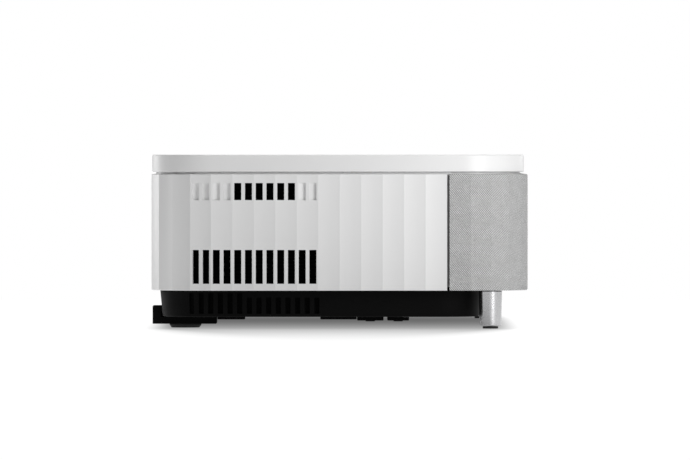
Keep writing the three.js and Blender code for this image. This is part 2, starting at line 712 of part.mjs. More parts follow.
// A dished rectangular mirror, hollow side towards +Y, tilted back to throw the beam up.
function projectionMirror() {
  const size = { x: 148, z: 70, back: 9, sag: 9, across: 8, up: 4 };
  const grid = (y) => {
    const points = [];
    for (let j = 0; j <= size.up; j++) {
      for (let i = 0; i <= size.across; i++) {
        const u = (2 * i) / size.across - 1;
        const v = (2 * j) / size.up - 1;
        points.push([(u * size.x) / 2, y(u, v), (v * size.z) / 2]);
      }
    }
    return points;
  };
  const face = grid((u, v) => size.sag * (u * u + 0.3 * v * v) * 0.77);
  const back = grid(() => -size.back);
  const row = size.across + 1;
  const count = face.length;
  const index = [];
  const quad = (a, b, c, d) => index.push(a, b, c, a, c, d);
  for (let j = 0; j < size.up; j++) {
    for (let i = 0; i < size.across; i++) {
      const a = j * row + i;
      quad(a, a + row, a + row + 1, a + 1);
      quad(count + a, count + a + 1, count + a + row + 1, count + a + row);
    }
  }
  for (let i = 0; i < size.across; i++) {
    const top = size.up * row + i;
    quad(i, i + 1, count + i + 1, count + i);
    quad(top + 1, top, count + top, count + top + 1);
  }
  for (let j = 0; j < size.up; j++) {
    const left = j * row;
    const right = left + size.across;
    quad(left + row, left, count + left, count + left + row);
    quad(right, right + row, count + right + row, count + right);
  }
  const geometry = new THREE.BufferGeometry();
  geometry.setAttribute("position", new THREE.Float32BufferAttribute([...face, ...back].flat(), 3));
  geometry.setIndex(index);
  geometry.rotateX(THREE.MathUtils.degToRad(16));
  const y = lens.front - 62;
  const stand = block(-30, 30, y - 8, y + 2, floorZ, lens.z - 26);
  return solid(geometry.translate(0, y, lens.z + 2)).add(stand);
}

// ---------------------------------------------------------------- optical engine and light source

const floorZ = groundGap + baseWall + fit; // where inner parts stand
const flangeTop = shellZ + wall;

// Four legs that carry a part whose underside is at z.
function legs(x0, x1, y0, y1, z, size = 5) {
  const made = [];
  for (const x of [x0, x1 - size]) {
    for (const y of [y0, y1 - size]) made.push(block(x, x + size, y, y + size, floorZ, z + 1));
  }
  return made;
}

const engine = { x: 54, y0: lens.rear - 4, y1: lens.rear + 42, z0: lens.z - 30, z1: lens.z + 30, wall: 4 };

function opticsBlock() {
  const { x, y0, y1, z0, z1 } = engine;
  const inner = engine.wall;
  const box = block(-x, x, y0, y1, z0, z1);
  const pocket = block(-x + inner, x - inner, y0 + inner, y1 - inner, z0 + inner, z1 + 1);
  const port = rod("y", barrel.step + 2 * fit, 12, 0, y0 - 4, lens.z);
  return joined(without(box, pocket, port), ...legs(-x, x, y0, y1, z0, 8));
}

const prism = { half: 10, y: 0 };
prism.y = engine.y0 + engine.wall + prism.half + 8;
const panel = { thickness: 1.6, x: 11, z: 9, gap: 1 };

function lcdPanel(side) {
  const near = prism.half + panel.gap;
  const far = near + panel.thickness;
  const { y } = prism;
  const z0 = lens.z - panel.z;
  const z1 = lens.z + panel.z;
  if (side === "rear") return block(-panel.x, panel.x, y + near, y + far, z0, z1);
  const s = side === "left" ? -1 : 1;
  return block(Math.min(s * near, s * far), Math.max(s * near, s * far), y - panel.x, y + panel.x, z0, z1);
}

function prismCube() {
  const h = prism.half;
  const cube = block(-h, h, prism.y - h, prism.y + h, lens.z - h, lens.z + h);
  return cube.add(block(-h, h, prism.y - h, prism.y + h, engine.z0 + engine.wall + fit, lens.z));
}

const laser = { x0: -engine.x - 118, x1: -engine.x - 12, y0: 62, y1: depth / 2 - 30.5, z0: lens.z - 26, z1: lens.z + 28 };
const wheel = { radius: 24, thickness: 1.6, x: laser.x1 - 30 };
wheel.y = (laser.y0 + laser.y1) / 2;

function laserHousing() {
  const { x0, x1, y0, y1, z0, z1 } = laser;
  const box = block(x0, x1, y0, y1, z0, z1);
  const slot = block(wheel.x - 6, wheel.x + 6, y0 + 8, y1 - 8, z0 + 1, z1 + 1);
  const motor = rod("x", 7, 5, wheel.x - 7, wheel.y, lens.z);
  const lightPipe = block(x1 - 1, -engine.x - fit, prism.y - 8, prism.y + 8, lens.z - 8, lens.z + 8);
  return joined(box.subtract(slot), motor, lightPipe, ...legs(x0, x1, y0, y1, z0, 8));
}

function phosphorWheel() {
  const disc = rod("x", wheel.radius, wheel.thickness, wheel.x, wheel.y, lens.z, 24);
  return disc.add(rod("x", 6, 3.5, wheel.x - 1.7, wheel.y, lens.z, 20));
}

const sink = { x0: laser.x0 - 84, x1: laser.x0 - 2, y0: laser.y0 - 4, y1: laser.y1, fins: 15, base: 5, fin: 1.6 };

function laserHeatSink() {
  const { x0, x1, y0, y1, fins, base, fin } = sink;
  const z0 = laser.z0;
  const z1 = laser.z1 + 4;
  const made = [block(x1 - base, x1, y0, y1, z0, z1)];
  const step = (z1 - z0 - fin) / (fins - 1);
  for (let i = 0; i < fins; i++) {
    made.push(block(x0, x1 - base + 1, y0, y1, z0 + i * step, z0 + i * step + fin));
  }
  return joined(...made, ...legs(x0, x1, y0, y1, z0));
}

// ---------------------------------------------------------------- fans

// Fans blow along X; `face` is the X of the frame's outer face, `side` the way out.
const fans = [
  { name: "exhaust_fan_rear", side: -1, size: 60, y: 96, face: width / 2 - wall - 7 },
  { name: "exhaust_fan_front", side: -1, size: 60, y: 33, face: width / 2 - wall - 7 },
  { name: "intake_fan", side: 1, size: 80, y: (door.y0 + door.y1) / 2, face: filter.x0 - 4 },
];
const fanDepth = 20;
const fanTipGap = 1.2;

function fanFrame({ side, size, y, face }) {
  const z = flangeTop + fit + size / 2;
  const bore = size / 2 - 2;
  const inner = face - fanDepth;
  let made = block(inner, face, y - size / 2, y + size / 2, z - size / 2, z + size / 2);
  made = made.subtract(rod("x", bore, fanDepth + 2, inner - 1, y, z, 20));
  const hub = rod("x", size * 0.2, 2, inner, y, z, 20);
  const strut = block(inner, inner + 2, y - bore - 0.5, y + bore + 0.5, z - 1.5, z + 1.5);
  const post = block(inner, inner + 2, y - 1.5, y + 1.5, z - bore - 0.5, z + bore + 0.5);
  const axle = rod("x", 1.5, 8, inner + 1, y, z, 12);
  made = joined(made, hub, strut, post, axle);
  return side > 0 ? made : made.mirror([1, 0, 0]);
}

function fanRotor({ side, size, y, face }) {
  const z = flangeTop + fit + size / 2;
  const inner = face - fanDepth;
  const hubR = size * 0.19;
  const tip = size / 2 - 2 - fanTipGap;
  let made = rod("x", hubR, fanDepth - 5, inner + 3, y, z, 20);
  const blades = 7;
  for (let i = 0; i < blades; i++) {
    const blade = new THREE.BoxGeometry(fanDepth - 6, 1.4, tip - hubR * 0.7);
    blade.rotateZ(0.75).translate(0, 0, (tip + hubR * 0.7) / 2);
    blade.rotateX((i * 2 * Math.PI) / blades).translate(inner + 3 + (fanDepth - 5) / 2, y, z);
    made = made.add(solid(blade));
  }
  const round = rod("x", tip, fanDepth, inner + 2.6, y, z, 20);
  made = made.intersect(round).subtract(rod("x", 1.8, 9, inner + 2, y, z, 12));
  return side > 0 ? made : made.mirror([1, 0, 0]);
}

// ---------------------------------------------------------------- sound

const baffle = { outer: coverFrame.inner + clearance + 2.5, thickness: wall, reach: coverReach + seam + 6 };
const drivers = [
  { name: "left_speaker", x: -250, radius: 33, depth: 34 },
  { name: "right_speaker", x: 250, radius: 33, depth: 34 },
  { name: "woofer", x: 0, radius: 40, depth: 36 },
];
const driverZ = (flangeTop + shellTop - neckDrop) / 2;
const baffleBackY = -depth / 2 + baffle.outer + baffle.thickness;

function frontBaffle() {
  const reach = straight + arc + baffle.reach - cornerRadius;
  const { outer, thickness } = baffle;
  const z0 = flangeTop + fit;
  const z1 = shellTop - neckDrop - fit;
  const made = turnToFront(rimWall(reach, coverFlutes, outer, outer + thickness, z0, z1));
  const holes = drivers.map(({ x, radius }) =>
    rod("y", radius, 30, x, -depth / 2 - 5, driverZ, 20),
  );
  return without(made, ...holes);
}

// The basket and magnet of a driver, behind the baffle.
function driverBasket({ x, radius, depth: deep }) {
  const magnet = radius * 0.55;
  const profile = [
    [0, deep], [0, deep * 0.72], [radius * 0.3, deep * 0.72], [radius - 1.5, 3], [radius - 1.5, 0],
    [radius + 4, 0], [radius + 4, 2.5], [radius, 3.5], [magnet, deep * 0.66], [magnet, deep], [0, deep],
  ];
  return spun(profile, "y", x, baffleBackY + fit, driverZ);
}

// The cone with its rolled surround and dust cap, facing the front.
function driverCone({ x, radius, depth: deep }) {
  const r = radius - 2.3;
  const low = deep * 0.45;
  const profile = [
    [0, low * 0.55], [r * 0.2, low * 0.62], [r * 0.3, low], [r * 0.8, 2.5], [r * 0.9, 0.5], [r, 2.5],
    [r, 4], [r * 0.9, 2.2], [r * 0.83, 4], [r * 0.3, low + 1.8], [0, low + 1.8],
  ];
  return spun(profile, "y", x, baffleBackY, driverZ);
}

// ---------------------------------------------------------------- electronics

const chips = [
  { x: 0.3, y: 0.4, sx: 34, sy: 34, h: 12 }, { x: 0.7, y: 0.35, sx: 20, sy: 20, h: 3 },
  { x: 0.72, y: 0.68, sx: 14, sy: 26, h: 3 }, { x: 0.2, y: 0.78, sx: 24, sy: 12, h: 5 },
];
const mainBoard = { x0: tray.x - 82, x1: tray.x + 78, y0: 38, y1: trayFloorY - socketLength - 1, z: shellZ + 12 };

function mainBoardSolid() {
  const { x0, x1, y0, y1, z } = mainBoard;
  const made = [block(x0, x1, y0, y1, z, z + 1.6)];
  for (const chip of chips) {
    const x = x0 + chip.x * (x1 - x0);
    const y = y0 + chip.y * (y1 - y0);
    made.push(block(x - chip.sx / 2, x + chip.sx / 2, y - chip.sy / 2, y + chip.sy / 2, z + 1, z + 1.6 + chip.h));
  }
  return joined(...made, ...legs(x0, x1, y0, y1, z));
}

const supply = { x0: -286, x1: -110, y0: -106, y1: -14, z: groundGap + 12 };

function powerSupply() {
  const { x0, x1, y0, y1, z } = supply;
  const board = block(x0, x1, y0, y1, z, z + 2);
  const at = (x, y, sx, sy, h) =>
    block(x0 + x - sx / 2, x0 + x + sx / 2, y0 + y - sy / 2, y0 + y + sy / 2, z + 1, z + 2 + h);
  const transformer = at(60, 46, 40, 46, 34);
  const choke = at(20, 30, 22, 22, 22);
  const plate = at(122, 46, 4, 80, 40);
  const cans = [96, 106].flatMap((x) =>
    [20, 46, 72].map((y) => rod("z", 4.6, 30, x0 + x, y0 + y, z + 1, 12)),
  );
  return joined(board, transformer, choke, plate, ...cans, ...legs(x0, x1, y0, y1, z));
}

// ---------------------------------------------------------------- base and feet

const tub = {
  rear: 8, sides: 22, front: 41.5, draft: 2.3, radius: 40,
};
const baseSlot = { pitch: 8.7, breadth: 4.6, count: 14, from: 32.5, z0: groundGap + 3 };
baseSlot.z1 = shellZ - 2.5;
baseSlot.barZ = shellZ - 6.5; // the slots forward of the first `tall` ones end under a bar
baseSlot.tall = 6;
const frontLeg = { x: width / 2 - 33, y: -depth / 2 + 34.2, stud: 4, studTop: shellZ + 23, pad: 7, padHeight: 2 };
const bracket = { x: 250, breadth: 46, z0: 3.6, reach: 59, rear: 0.8, upstand: 8, upstandTop: 20 };
const rearPad = { y: depth / 2 - 30.4, top: 14.5, bottom: 12.6, chamfer: 2.6, spigot: 5, spigotHeight: 3 };
// Raised pads under the base: distance from the rear, length, how far they stand down, button radius.
const undersidePads = [
  { from: 59.6, length: 25, drop: 3 },
  { from: 153, length: 33, drop: 3 },
  { from: 186.4, length: 24, drop: 4, button: 4.3 },
  { from: 213.8, length: 19.8, drop: 4, button: 4.3 },
];
const padBreadth = 42;

function basePan() {
  const centreY = (tub.front - tub.rear) / 2;
  const ring = (grow) => ({
    x: width / 2 - tub.sides + grow,
    y: (depth - tub.rear - tub.front) / 2 + grow,
    r: tub.radius + grow,
  });
  const outside = frustum(ring(-tub.draft), ring(0), groundGap, shellZ + 0.5, centreY);
  const inside = frustum(
    ring(-tub.draft - baseWall), ring(-baseWall), groundGap + baseWall, flangeTop + 1, centreY,
  );
  const flange = slab(plan(coverFrame.inner + 1, wall + 1.2, baffle.outer), shellZ, flangeTop);
  const tray = joined(outside, flange).subtract(inside);
  const holes = [];
  const bosses = [];
  for (const side of [-1, 1]) {
    for (let i = 0; i < baseSlot.count; i++) {
      const y = depth / 2 - baseSlot.from - (i + 0.5) * baseSlot.pitch;
      const x = side * (width / 2 - tub.sides);
      const half = baseSlot.breadth / 2;
      const z1 = i < baseSlot.tall ? baseSlot.z1 : baseSlot.barZ;
      holes.push(block(x - 9, x + 9, y - half, y + half, baseSlot.z0, z1));
    }
    const x = side * frontLeg.x;
    bosses.push(rod("z", 9, 20, x, frontLeg.y, flangeTop - 1, 20));
    holes.push(rod("z", frontLeg.stud + 0.4, 40, x, frontLeg.y, shellZ - 5, 20));
    for (const { from, length, drop, button: dot } of undersidePads) {
      const y = depth / 2 - from - length / 2;
      const centre = side * bracket.x;
      const half = padBreadth / 2;
      bosses.push(block(centre - half, centre + half, y - length / 2, y + length / 2, groundGap - drop, groundGap + 1));
      if (dot) bosses.push(rod("z", dot, 4, centre, y, groundGap - drop - 1, 16));
    }
  }
  return without(joined(tray, ...bosses), ...holes);
}

function rearBracket(side) {
  const { x, breadth, z0, reach, rear, upstand, upstandTop } = bracket;
  const y1 = depth / 2 - rear;
  const y0 = depth / 2 - reach;
  const x0 = side * x - breadth / 2;
  const x1 = side * x + breadth / 2;
  const foot = block(x0, x1, y0, y1, z0, groundGap - fit);
  const tail = block(x0, x1, y1 - upstand, y1, z0, upstandTop);
  const hole = rod("z", rearPad.spigot + fit, rearPad.spigotHeight + fit, side * x, rearPad.y, z0 - 0.01, 20);
  return without(joined(foot, tail), hole);
}

function rearFootPad(side) {
  const { top, bottom, chamfer, spigot, spigotHeight } = rearPad;
  const height = bracket.z0 - fit;
  const profile = [
    [0, 0], [bottom, 0], [top, chamfer], [top, height], [spigot, height],
    [spigot, height + spigotHeight], [0, height + spigotHeight],
  ];
  return spun(profile, "z", side * bracket.x, rearPad.y, 0, 24);
}

const leg = { top: 10.5, bottom: 9.9, gap: 0.4, socket: 2.4, socketDepth: 7 };

function frontLegSolid(side) {
  const z0 = frontLeg.padHeight + fit;
  const z1 = shellZ - leg.gap;
  const profile = [
    [leg.socket, z0], [leg.bottom - 0.8, z0], [leg.bottom, z0 + 0.8], [leg.top, z1],
    [frontLeg.stud, z1], [frontLeg.stud, frontLeg.studTop], [0, frontLeg.studTop],
    [0, z0 + leg.socketDepth], [leg.socket, z0 + leg.socketDepth], [leg.socket, z0],
  ];
  return spun(profile, "z", side * frontLeg.x, frontLeg.y, 0, 24);
}

function frontPad(side) {
  const pin = leg.socket - 0.3;
  const height = frontLeg.padHeight;
  const profile = [
    [0, 0], [frontLeg.pad, 0], [frontLeg.pad, height], [pin, height],
    [pin, height + leg.socketDepth - 1], [0, height + leg.socketDepth - 1],
  ];
  return spun(profile, "z", side * frontLeg.x, frontLeg.y, 0, 24);
}

// ---------------------------------------------------------------- the parts

add("base_pan", basePan(), "blackPlastic");
add("outer_shell", outerShell(), "whitePlastic");
add("top_frame", topFrame(), "whitePlastic");
add("top_lid", topLid(), "whitePlastic");
add("front_grille", frontGrille(), "blackPlastic");
add("grille_cloth", grilleCloth(), "cloth");
add("front_baffle", frontBaffle(), "blackPlastic");

add("lens_well", lensWell(), "blackPlastic");
add("projection_window", projectionWindow(), "glass");
add("shutter_panel", shutterPanel(), "whitePlastic");
add("shutter_rack", shutterRack(), "blackPlastic");
add("shutter_pinion", shutterPinion(), "brass");
add("shutter_motor", shutterMotor(), "satinMetal");

add("projection_mirror", projectionMirror(), "mirror");
add("lens_barrel", lensBarrel(), "blackPlastic");
add("front_lens", bulgingLens(barrel.bore - fit, 4, 5, lens.front + 6), "glass");
add("focus_cell", focusCell(), "castMetal");
add("focus_lens", bulgingLens(cell.bore - fit, 4, 3, cell.y + 3), "glass");
add("focus_ring", focusRing(), "blackPlastic");
add("focus_pinion", focusPinion(), "brass");
add("focus_motor", focusMotorBody(), "satinMetal");
add("optics_block", opticsBlock(), "castMetal");
add("prism_cube", prismCube(), "glass");
add("lcd_panel_red", lcdPanel("left"), "board");
add("lcd_panel_green", lcdPanel("rear"), "board");
add("lcd_panel_blue", lcdPanel("right"), "board");
add("laser_housing", laserHousing(), "castMetal");
add("phosphor_wheel", phosphorWheel(), "yellow");
add("laser_heat_sink", laserHeatSink(), "satinMetal");

for (const fan of fans) {
  add(fan.name + "_frame", fanFrame(fan), "blackPlastic");
  add(fan.name + "_rotor", fanRotor(fan), "blackPlastic");
}
add("filter_door", filterDoor(), "whitePlastic");
add("air_filter", airFilter(), "foam");

for (const driver of drivers) {
  add(driver.name + "_basket", driverBasket(driver), "castMetal");
  add(driver.name + "_cone", driverCone(driver), "blackPlastic");
}

add("main_board", mainBoardSolid(), "board");
add("power_supply", powerSupply(), "board");
add("port_tray", portTray(), "blackPlastic");
for (const entry of sockets) add(entry.name, socket(entry), "satinMetal");
add("ac_inlet", acInlet(), "blackPlastic");
add("power_button", powerButton(), "whitePlastic");

for (const [side, word] of [[-1, "left"], [1, "right"]]) {
  add(`front_${word}_leg`, frontLegSolid(side), "satinMetal");
  add(`front_${word}_pad`, frontPad(side), "rubber");
  add(`rear_${word}_foot_bracket`, rearBracket(side), "blackPlastic");
  add(`rear_${word}_foot_pad`, rearFootPad(side), "rubber");
}

export default part;
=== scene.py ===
# %% [markdown]
# # A home projector, built surface by surface
#
# The projector is a low white box that stands close to a wall and throws its picture up the wall
# through a sliding shutter in the lid. The mechanical model comes first and fixes every size and
# every joint. This lesson then gives each visible piece its real surface and finish: fluted walls,
# a woven front, a softly edged lid, a black base and satin metal feet.

# %% Load the mechanical model and keep its box
import math

import bmesh
import bpy
import numpy as np
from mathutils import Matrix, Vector


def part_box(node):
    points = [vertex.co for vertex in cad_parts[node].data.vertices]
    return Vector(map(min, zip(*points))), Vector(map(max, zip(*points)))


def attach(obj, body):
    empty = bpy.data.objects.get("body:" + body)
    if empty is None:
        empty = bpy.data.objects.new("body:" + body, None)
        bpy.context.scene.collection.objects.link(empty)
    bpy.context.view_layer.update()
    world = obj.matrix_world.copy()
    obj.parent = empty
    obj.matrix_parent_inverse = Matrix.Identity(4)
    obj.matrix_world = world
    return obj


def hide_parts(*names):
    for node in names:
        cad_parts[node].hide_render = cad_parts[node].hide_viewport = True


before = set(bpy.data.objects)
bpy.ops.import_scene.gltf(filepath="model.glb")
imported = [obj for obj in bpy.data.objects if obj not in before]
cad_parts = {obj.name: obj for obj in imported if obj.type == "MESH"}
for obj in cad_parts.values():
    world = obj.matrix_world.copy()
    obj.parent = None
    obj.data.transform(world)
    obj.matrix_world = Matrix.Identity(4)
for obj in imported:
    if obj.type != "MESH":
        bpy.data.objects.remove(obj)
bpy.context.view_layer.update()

# %% [markdown]
# ## Sizes
#
# Every place is read from the mechanical model, in millimetres here because that is how the case
# was drawn. `span` gives the lowest and highest corner of one of its pieces.


# %% Read the case's own sizes
def span(node):
    """Lowest and highest corner of a node, as two arrays in millimetres."""
    low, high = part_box(node)
    return np.array(low) * 1000, np.array(high) * 1000


shell_low, shell_high = span("outer_shell")
cover_low, cover_high = span("grille_cloth")
lid_low, lid_high = span("top_lid")
WIDTH = shell_high[0] - shell_low[0]
DEPTH = shell_high[1] - cover_low[1]
RADIUS = 58.0  # plan radius of the corners
WALL = 3.0
SHELL_Z, SHELL_TOP = shell_low[2], shell_high[2]
LID_Z, LID_TOP = lid_low[2], lid_high[2]
BASE_Z = 10.5  # underside of the black base
STRAIGHT = WIDTH / 2 - RADIUS
ARC = math.pi / 2 * RADIUS
SHELL_REACH = STRAIGHT + ARC + DEPTH / 2 - RADIUS - shell_low[1]
COVER_REACH = STRAIGHT + ARC + DEPTH / 2 - RADIUS + cover_high[1]
SHELL_FLUTES = 61
COVER_FLUTES = 41
PITCH = 2 * SHELL_REACH / SHELL_FLUTES
print(f"case {WIDTH:.1f} x {DEPTH:.1f} x {LID_TOP:.1f} mm, flutes {PITCH:.2f} mm wide")

# %% [markdown]
# ## Making a mesh from arrays
#
# Each shape is an array of points worked out with numpy, and a list of faces between them. One
# function turns the two into a finished piece: it welds points that meet, points all faces
# outwards, marks the edges that should stay crisp, and hands the piece to the body it rides on.


# %% Weld, orient and shade a mesh, and ride it on its body
def piece(name, points, faces, body, finish, slot, replaces=(), crisp=30, creases=None, uv=None):
    """points in mm; faces lists point numbers; creases holds, per point, the number of the fold
    line that it lies on, or -1."""
    data = bpy.data.meshes.new(name)
    data.from_pydata((np.asarray(points) / 1000).tolist(), [], [list(map(int, f)) for f in faces])
    if creases is not None:
        data.attributes.new("fold", "INT", "POINT").data.foreach_set("value", np.asarray(creases, int))
    if uv is not None:
        corner = np.empty(len(data.loops), int)
        data.loops.foreach_get("vertex_index", corner)
        layer = data.uv_layers.new(name="cloth")
        layer.data.foreach_set("uv", np.asarray(uv)[corner].astype(np.float32).ravel())
    work = bmesh.new()
    work.from_mesh(data)
    bmesh.ops.remove_doubles(work, verts=work.verts, dist=1e-6)
    bmesh.ops.recalc_face_normals(work, faces=work.faces)
    work.to_mesh(data)
    work.free()
    data.polygons.foreach_set("use_smooth", np.ones(len(data.polygons), bool))
    data.set_sharp_from_angle(angle=math.radians(crisp))
    if creases is not None:
        keep_folds(data)
    data.materials.append(finish)
    made = bpy.data.objects.new(name, data)
    bpy.context.scene.collection.objects.link(made)
    return settle(made, body, replaces)


def keep_folds(data):
    """Marks every edge whose two ends lie on the same fold line as crisp."""
    fold = np.empty(len(data.vertices), int)
    data.attributes["fold"].data.foreach_get("value", fold)
    ends = np.empty(2 * len(data.edges), int)
    data.edges.foreach_get("vertices", ends)
    first, second = fold[ends].reshape(-1, 2).T
    crisp = np.empty(len(data.edges), bool)
    data.attributes["sharp_edge"].data.foreach_get("value", crisp)
    crisp |= (first == second) & (first >= 0)
    data.attributes["sharp_edge"].data.foreach_set("value", crisp)


def soften(made, width, angle=60):
    """A bevel of that width in mm on every edge sharper than angle."""
    bevel = made.modifiers.new("soft edges", "BEVEL")
    bevel.width = width / 1000
    bevel.segments = 2
    bevel.limit_method = "ANGLE"
    bevel.angle_limit = math.radians(angle)
    bevel.use_clamp_overlap = True


def settle(made, body, replaces=()):
    """Puts a piece on its body and hides the nodes that it stands for."""
    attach(made, body)
    if replaces:
        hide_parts(*replaces)
    print(f"{made.name}: {len(made.data.vertices)} points, {len(made.data.polygons)} faces")
    return made


# %% [markdown]
# ## Three ways to span faces
#
# *Loops* stack closed rings of points, as a potter stacks coils. *Walled* gives a sheet with
# openings its thickness: two grids, the outer and the inner face, and a mask that says which
# cells are solid; wherever a solid cell meets an opening, a small wall joins the two faces.
# *Swept* carries a closed section along an open line.


# %% Faces between rings of points
def ring_faces(rings, count, closed=False, caps=True):
    """Quads between each ring and the next; closed joins the last ring to the first, and caps
    close the two end rings with one flat face each."""
    grid = np.arange(rings * count).reshape(rings, count)
    low = grid if closed else grid[:-1]
    high = np.roll(grid, -1, 0) if closed else grid[1:]
    quads = np.stack([low, np.roll(low, -1, 1), np.roll(high, -1, 1), high], -1).reshape(-1, 4)
    faces = quads.tolist()
    if caps and not closed:
        faces += [grid[0][::-1].tolist(), grid[-1].tolist()]
    return faces


def stacked(loops, closed=False, caps=True):
    """(points, faces) of a stack of rings, an array of rings x points x 3."""
    loops = np.asarray(loops, float)
    return loops.reshape(-1, 3), ring_faces(len(loops), loops.shape[1], closed, caps)


# %% Faces of a sheet with openings and thickness
def walled(outer, inner, solid, wrap=False, cap=False):
    """(points, faces) of a sheet between two grids of rows x columns x 3. solid has one truth
    value per cell. wrap joins the last column to the first; cap closes the last row."""
    rows, columns = outer.shape[:2]
    front = np.arange(rows * columns).reshape(rows, columns)
    back = front + rows * columns
    across = (lambda a: np.roll(a, -1, 1)) if wrap else (lambda a: a[:, 1:])
    here = (lambda a: a) if wrap else (lambda a: a[:, :-1])
    i, j = np.nonzero(solid)
    faces = []
    for grid, flip in ((front, 1), (back, -1)):
        right = across(grid)
        left = here(grid)
        corners = [left[:-1][i, j], right[:-1][i, j], right[1:][i, j], left[1:][i, j]]
        faces += np.stack(corners[::flip], -1).tolist()
    edge = np.zeros((1, solid.shape[1]), bool)
    padded = np.vstack([edge, solid, solid[-1:] if cap else edge])
    i, j = np.nonzero(padded[1:] != padded[:-1])
    rims = [here(front)[i, j], across(front)[i, j], across(back)[i, j], here(back)[i, j]]
    faces += np.stack(rims, -1).tolist()
    if wrap:
        beside = solid != np.roll(solid, 1, 1)
    else:
        edge = np.zeros((rows - 1, 1), bool)
        beside = np.hstack([solid, edge]) != np.hstack([edge, solid])
    i, j = np.nonzero(beside)
    faces += np.stack([front[i, j], front[i + 1, j], back[i + 1, j], back[i, j]], -1).tolist()
    if cap:
        faces += [front[-1].tolist(), back[-1][::-1].tolist()]
    points = np.concatenate([outer.reshape(-1, 3), inner.reshape(-1, 3)])
    used = np.unique(np.concatenate([np.ravel(f) for f in faces]))
    renumber = np.zeros(len(points), int)
    renumber[used] = np.arange(len(used))
    return points[used], [renumber[f].tolist() for f in faces], used


# %% [markdown]
# ## Soft edges
#
# No moulded or turned edge is perfectly sharp, and the thin bright line that a soft edge catches
# is what makes a surface look real. `eased` takes the corners of a section and rounds each by
# its own radius. It adds one extra point just past each rounding, so that the smooth shading of
# the curve doesn't spread over the flat beside it.


# %% Round the corners of a section
def eased(corners, radii, steps=5, closed=False, hold=0.12):
    """corners: points of a section in 2-D. At a corner whose sides turn by angle a, an arc of
    radius r starts r*tan(a/2) before the corner, and is sampled in equal steps of angle."""
    corners = np.asarray(corners, float)
    made = []
    for k, radius in enumerate(radii):
        here = corners[k]
        before = corners[k - 1] - here
        after = corners[(k + 1) % len(corners)] - here
        if radius == 0 or (not closed and k in (0, len(radii) - 1)):
            made.append(here[None])
            continue
        before, after = before / np.linalg.norm(before), after / np.linalg.norm(after)
        turn = math.pi - math.acos(np.clip(before @ after, -1, 1))
        reach = radius * math.tan(turn / 2)
        middle = here + (before + after) / np.linalg.norm(before + after) * radius / math.cos(turn / 2)
        first = (here + before * reach - middle) / radius
        last = (here + after * reach - middle) / radius
        t = np.linspace(0, 1, steps + 1)[:, None]
        arc = (np.sin((1 - t) * turn) * first + np.sin(t * turn) * last) / math.sin(turn)
        if abs(math.sin(turn)) < 1e-6:
            arc = first * (1 - t) + last * t
        ends = [here + before * (reach + hold), here + after * (reach + hold)]
        made += [ends[0][None], middle + arc * radius, ends[1][None]]
    return np.concatenate(made)


# %% [markdown]
# ## Outlines
#
# Seen from above, nearly every piece is a rectangle with round corners. An outline keeps, for
# each point, the centre it turns about and its direction, so that the same outline can be drawn
# in or out by any amount and its points still match one to one.


# %% A rounded rectangle that can be drawn in or out
class Outline:
    """Points at centre + direction * (radius - inset), four quarter turns joined by straights.
    stops are heights along Y that get a point of their own on both sides, up to the rear corners."""

    def __init__(self, x0, x1, y0, y1, radius, steps=16, stops=()):
        self.radius = radius
        middle = np.array([(x0 + x1) / 2, (y0 + y1) / 2])
        half = np.array([(x1 - x0) / 2, (y1 - y0) / 2]) - radius
        quarter = np.linspace(0, math.pi / 2, steps + 1)
        stops = np.sort(np.asarray(stops, float))
        rise = (stops - middle[1] - half[1]) / radius
        flat = stops[np.abs(stops - middle[1]) < half[1]]
        bent = np.arcsin(rise[rise > 0])
        centres, ways = [], []
        for k, (sx, sy) in enumerate([(1, 1), (-1, 1), (-1, -1), (1, -1)]):
            angle = quarter + k * math.pi / 2
            if k < 2:
                angle = np.sort(np.concatenate([angle, bent if k == 0 else math.pi - bent]))
            ways.append(np.stack([np.cos(angle), np.sin(angle)], -1))
            centres.append(np.tile(middle + half * (sx, sy), (len(angle), 1)))
            if len(flat) and k in (1, 3):
                side, order = (-1, flat[::-1]) if k == 1 else (1, flat)
                centres.append(np.stack([np.full(len(order), middle[0] + side * half[0]), order], -1))
                ways.append(np.tile([side, 0.0], (len(order), 1)))
        self.centre, self.way = np.concatenate(centres), np.concatenate(ways)

    def ring(self, inset, z):
        """The outline drawn in by inset, at height z."""
        flat = self.centre + self.way * (self.radius - inset)
        return np.hstack([flat, np.full((len(flat), 1), z)])

    def rings(self, section):
        """One ring for each (inset, z) of a section."""
        return np.array([self.ring(inset, z) for inset, z in section])


def block(x0, x1, y0, y1, z0, z1, radius, ease=0.5, steps=8):
    """(points, faces) of a rounded plate whose top and bottom edges are eased."""
    outline = Outline(x0, x1, y0, y1, radius, steps)
    deep = min(radius, 2.0) * 0.98
    corners = [(deep, z0), (0, z0), (0, z1), (deep, z1)]
    section = eased(corners, [0, ease, ease, 0], 3, hold=0.05)
    return stacked(outline.rings(section))


def turned(section, axis, centre, sides=72, closed=False):
    """(points, faces) of a section of (radius, height) pairs spun about an axis. Point k of a
    ring lies at radius*(cos a, sin a) across the axis, with a = 2 pi k / sides."""
    section = np.asarray(section, float)
    angle = np.arange(sides) * 2 * math.pi / sides
    r = np.maximum(section[:, :1], 1e-4)
    height = np.repeat(section[:, 1:], sides, 1)
    u, v = r * np.cos(angle), r * np.sin(angle)
    order = {"x": (height, u, v), "y": (v, height, u), "z": (u, v, height)}[axis]
    loops = np.stack(order, -1) + np.asarray(centre, float)
    return stacked(loops, closed)


def together(*parts):
    """Several (points, faces) as one."""
    points, faces, count = [], [], 0
    for p, f in parts:
        points.append(np.asarray(p))
        faces += [[n + count for n in face] for face in f]
        count += len(p)
    return np.concatenate(points), faces


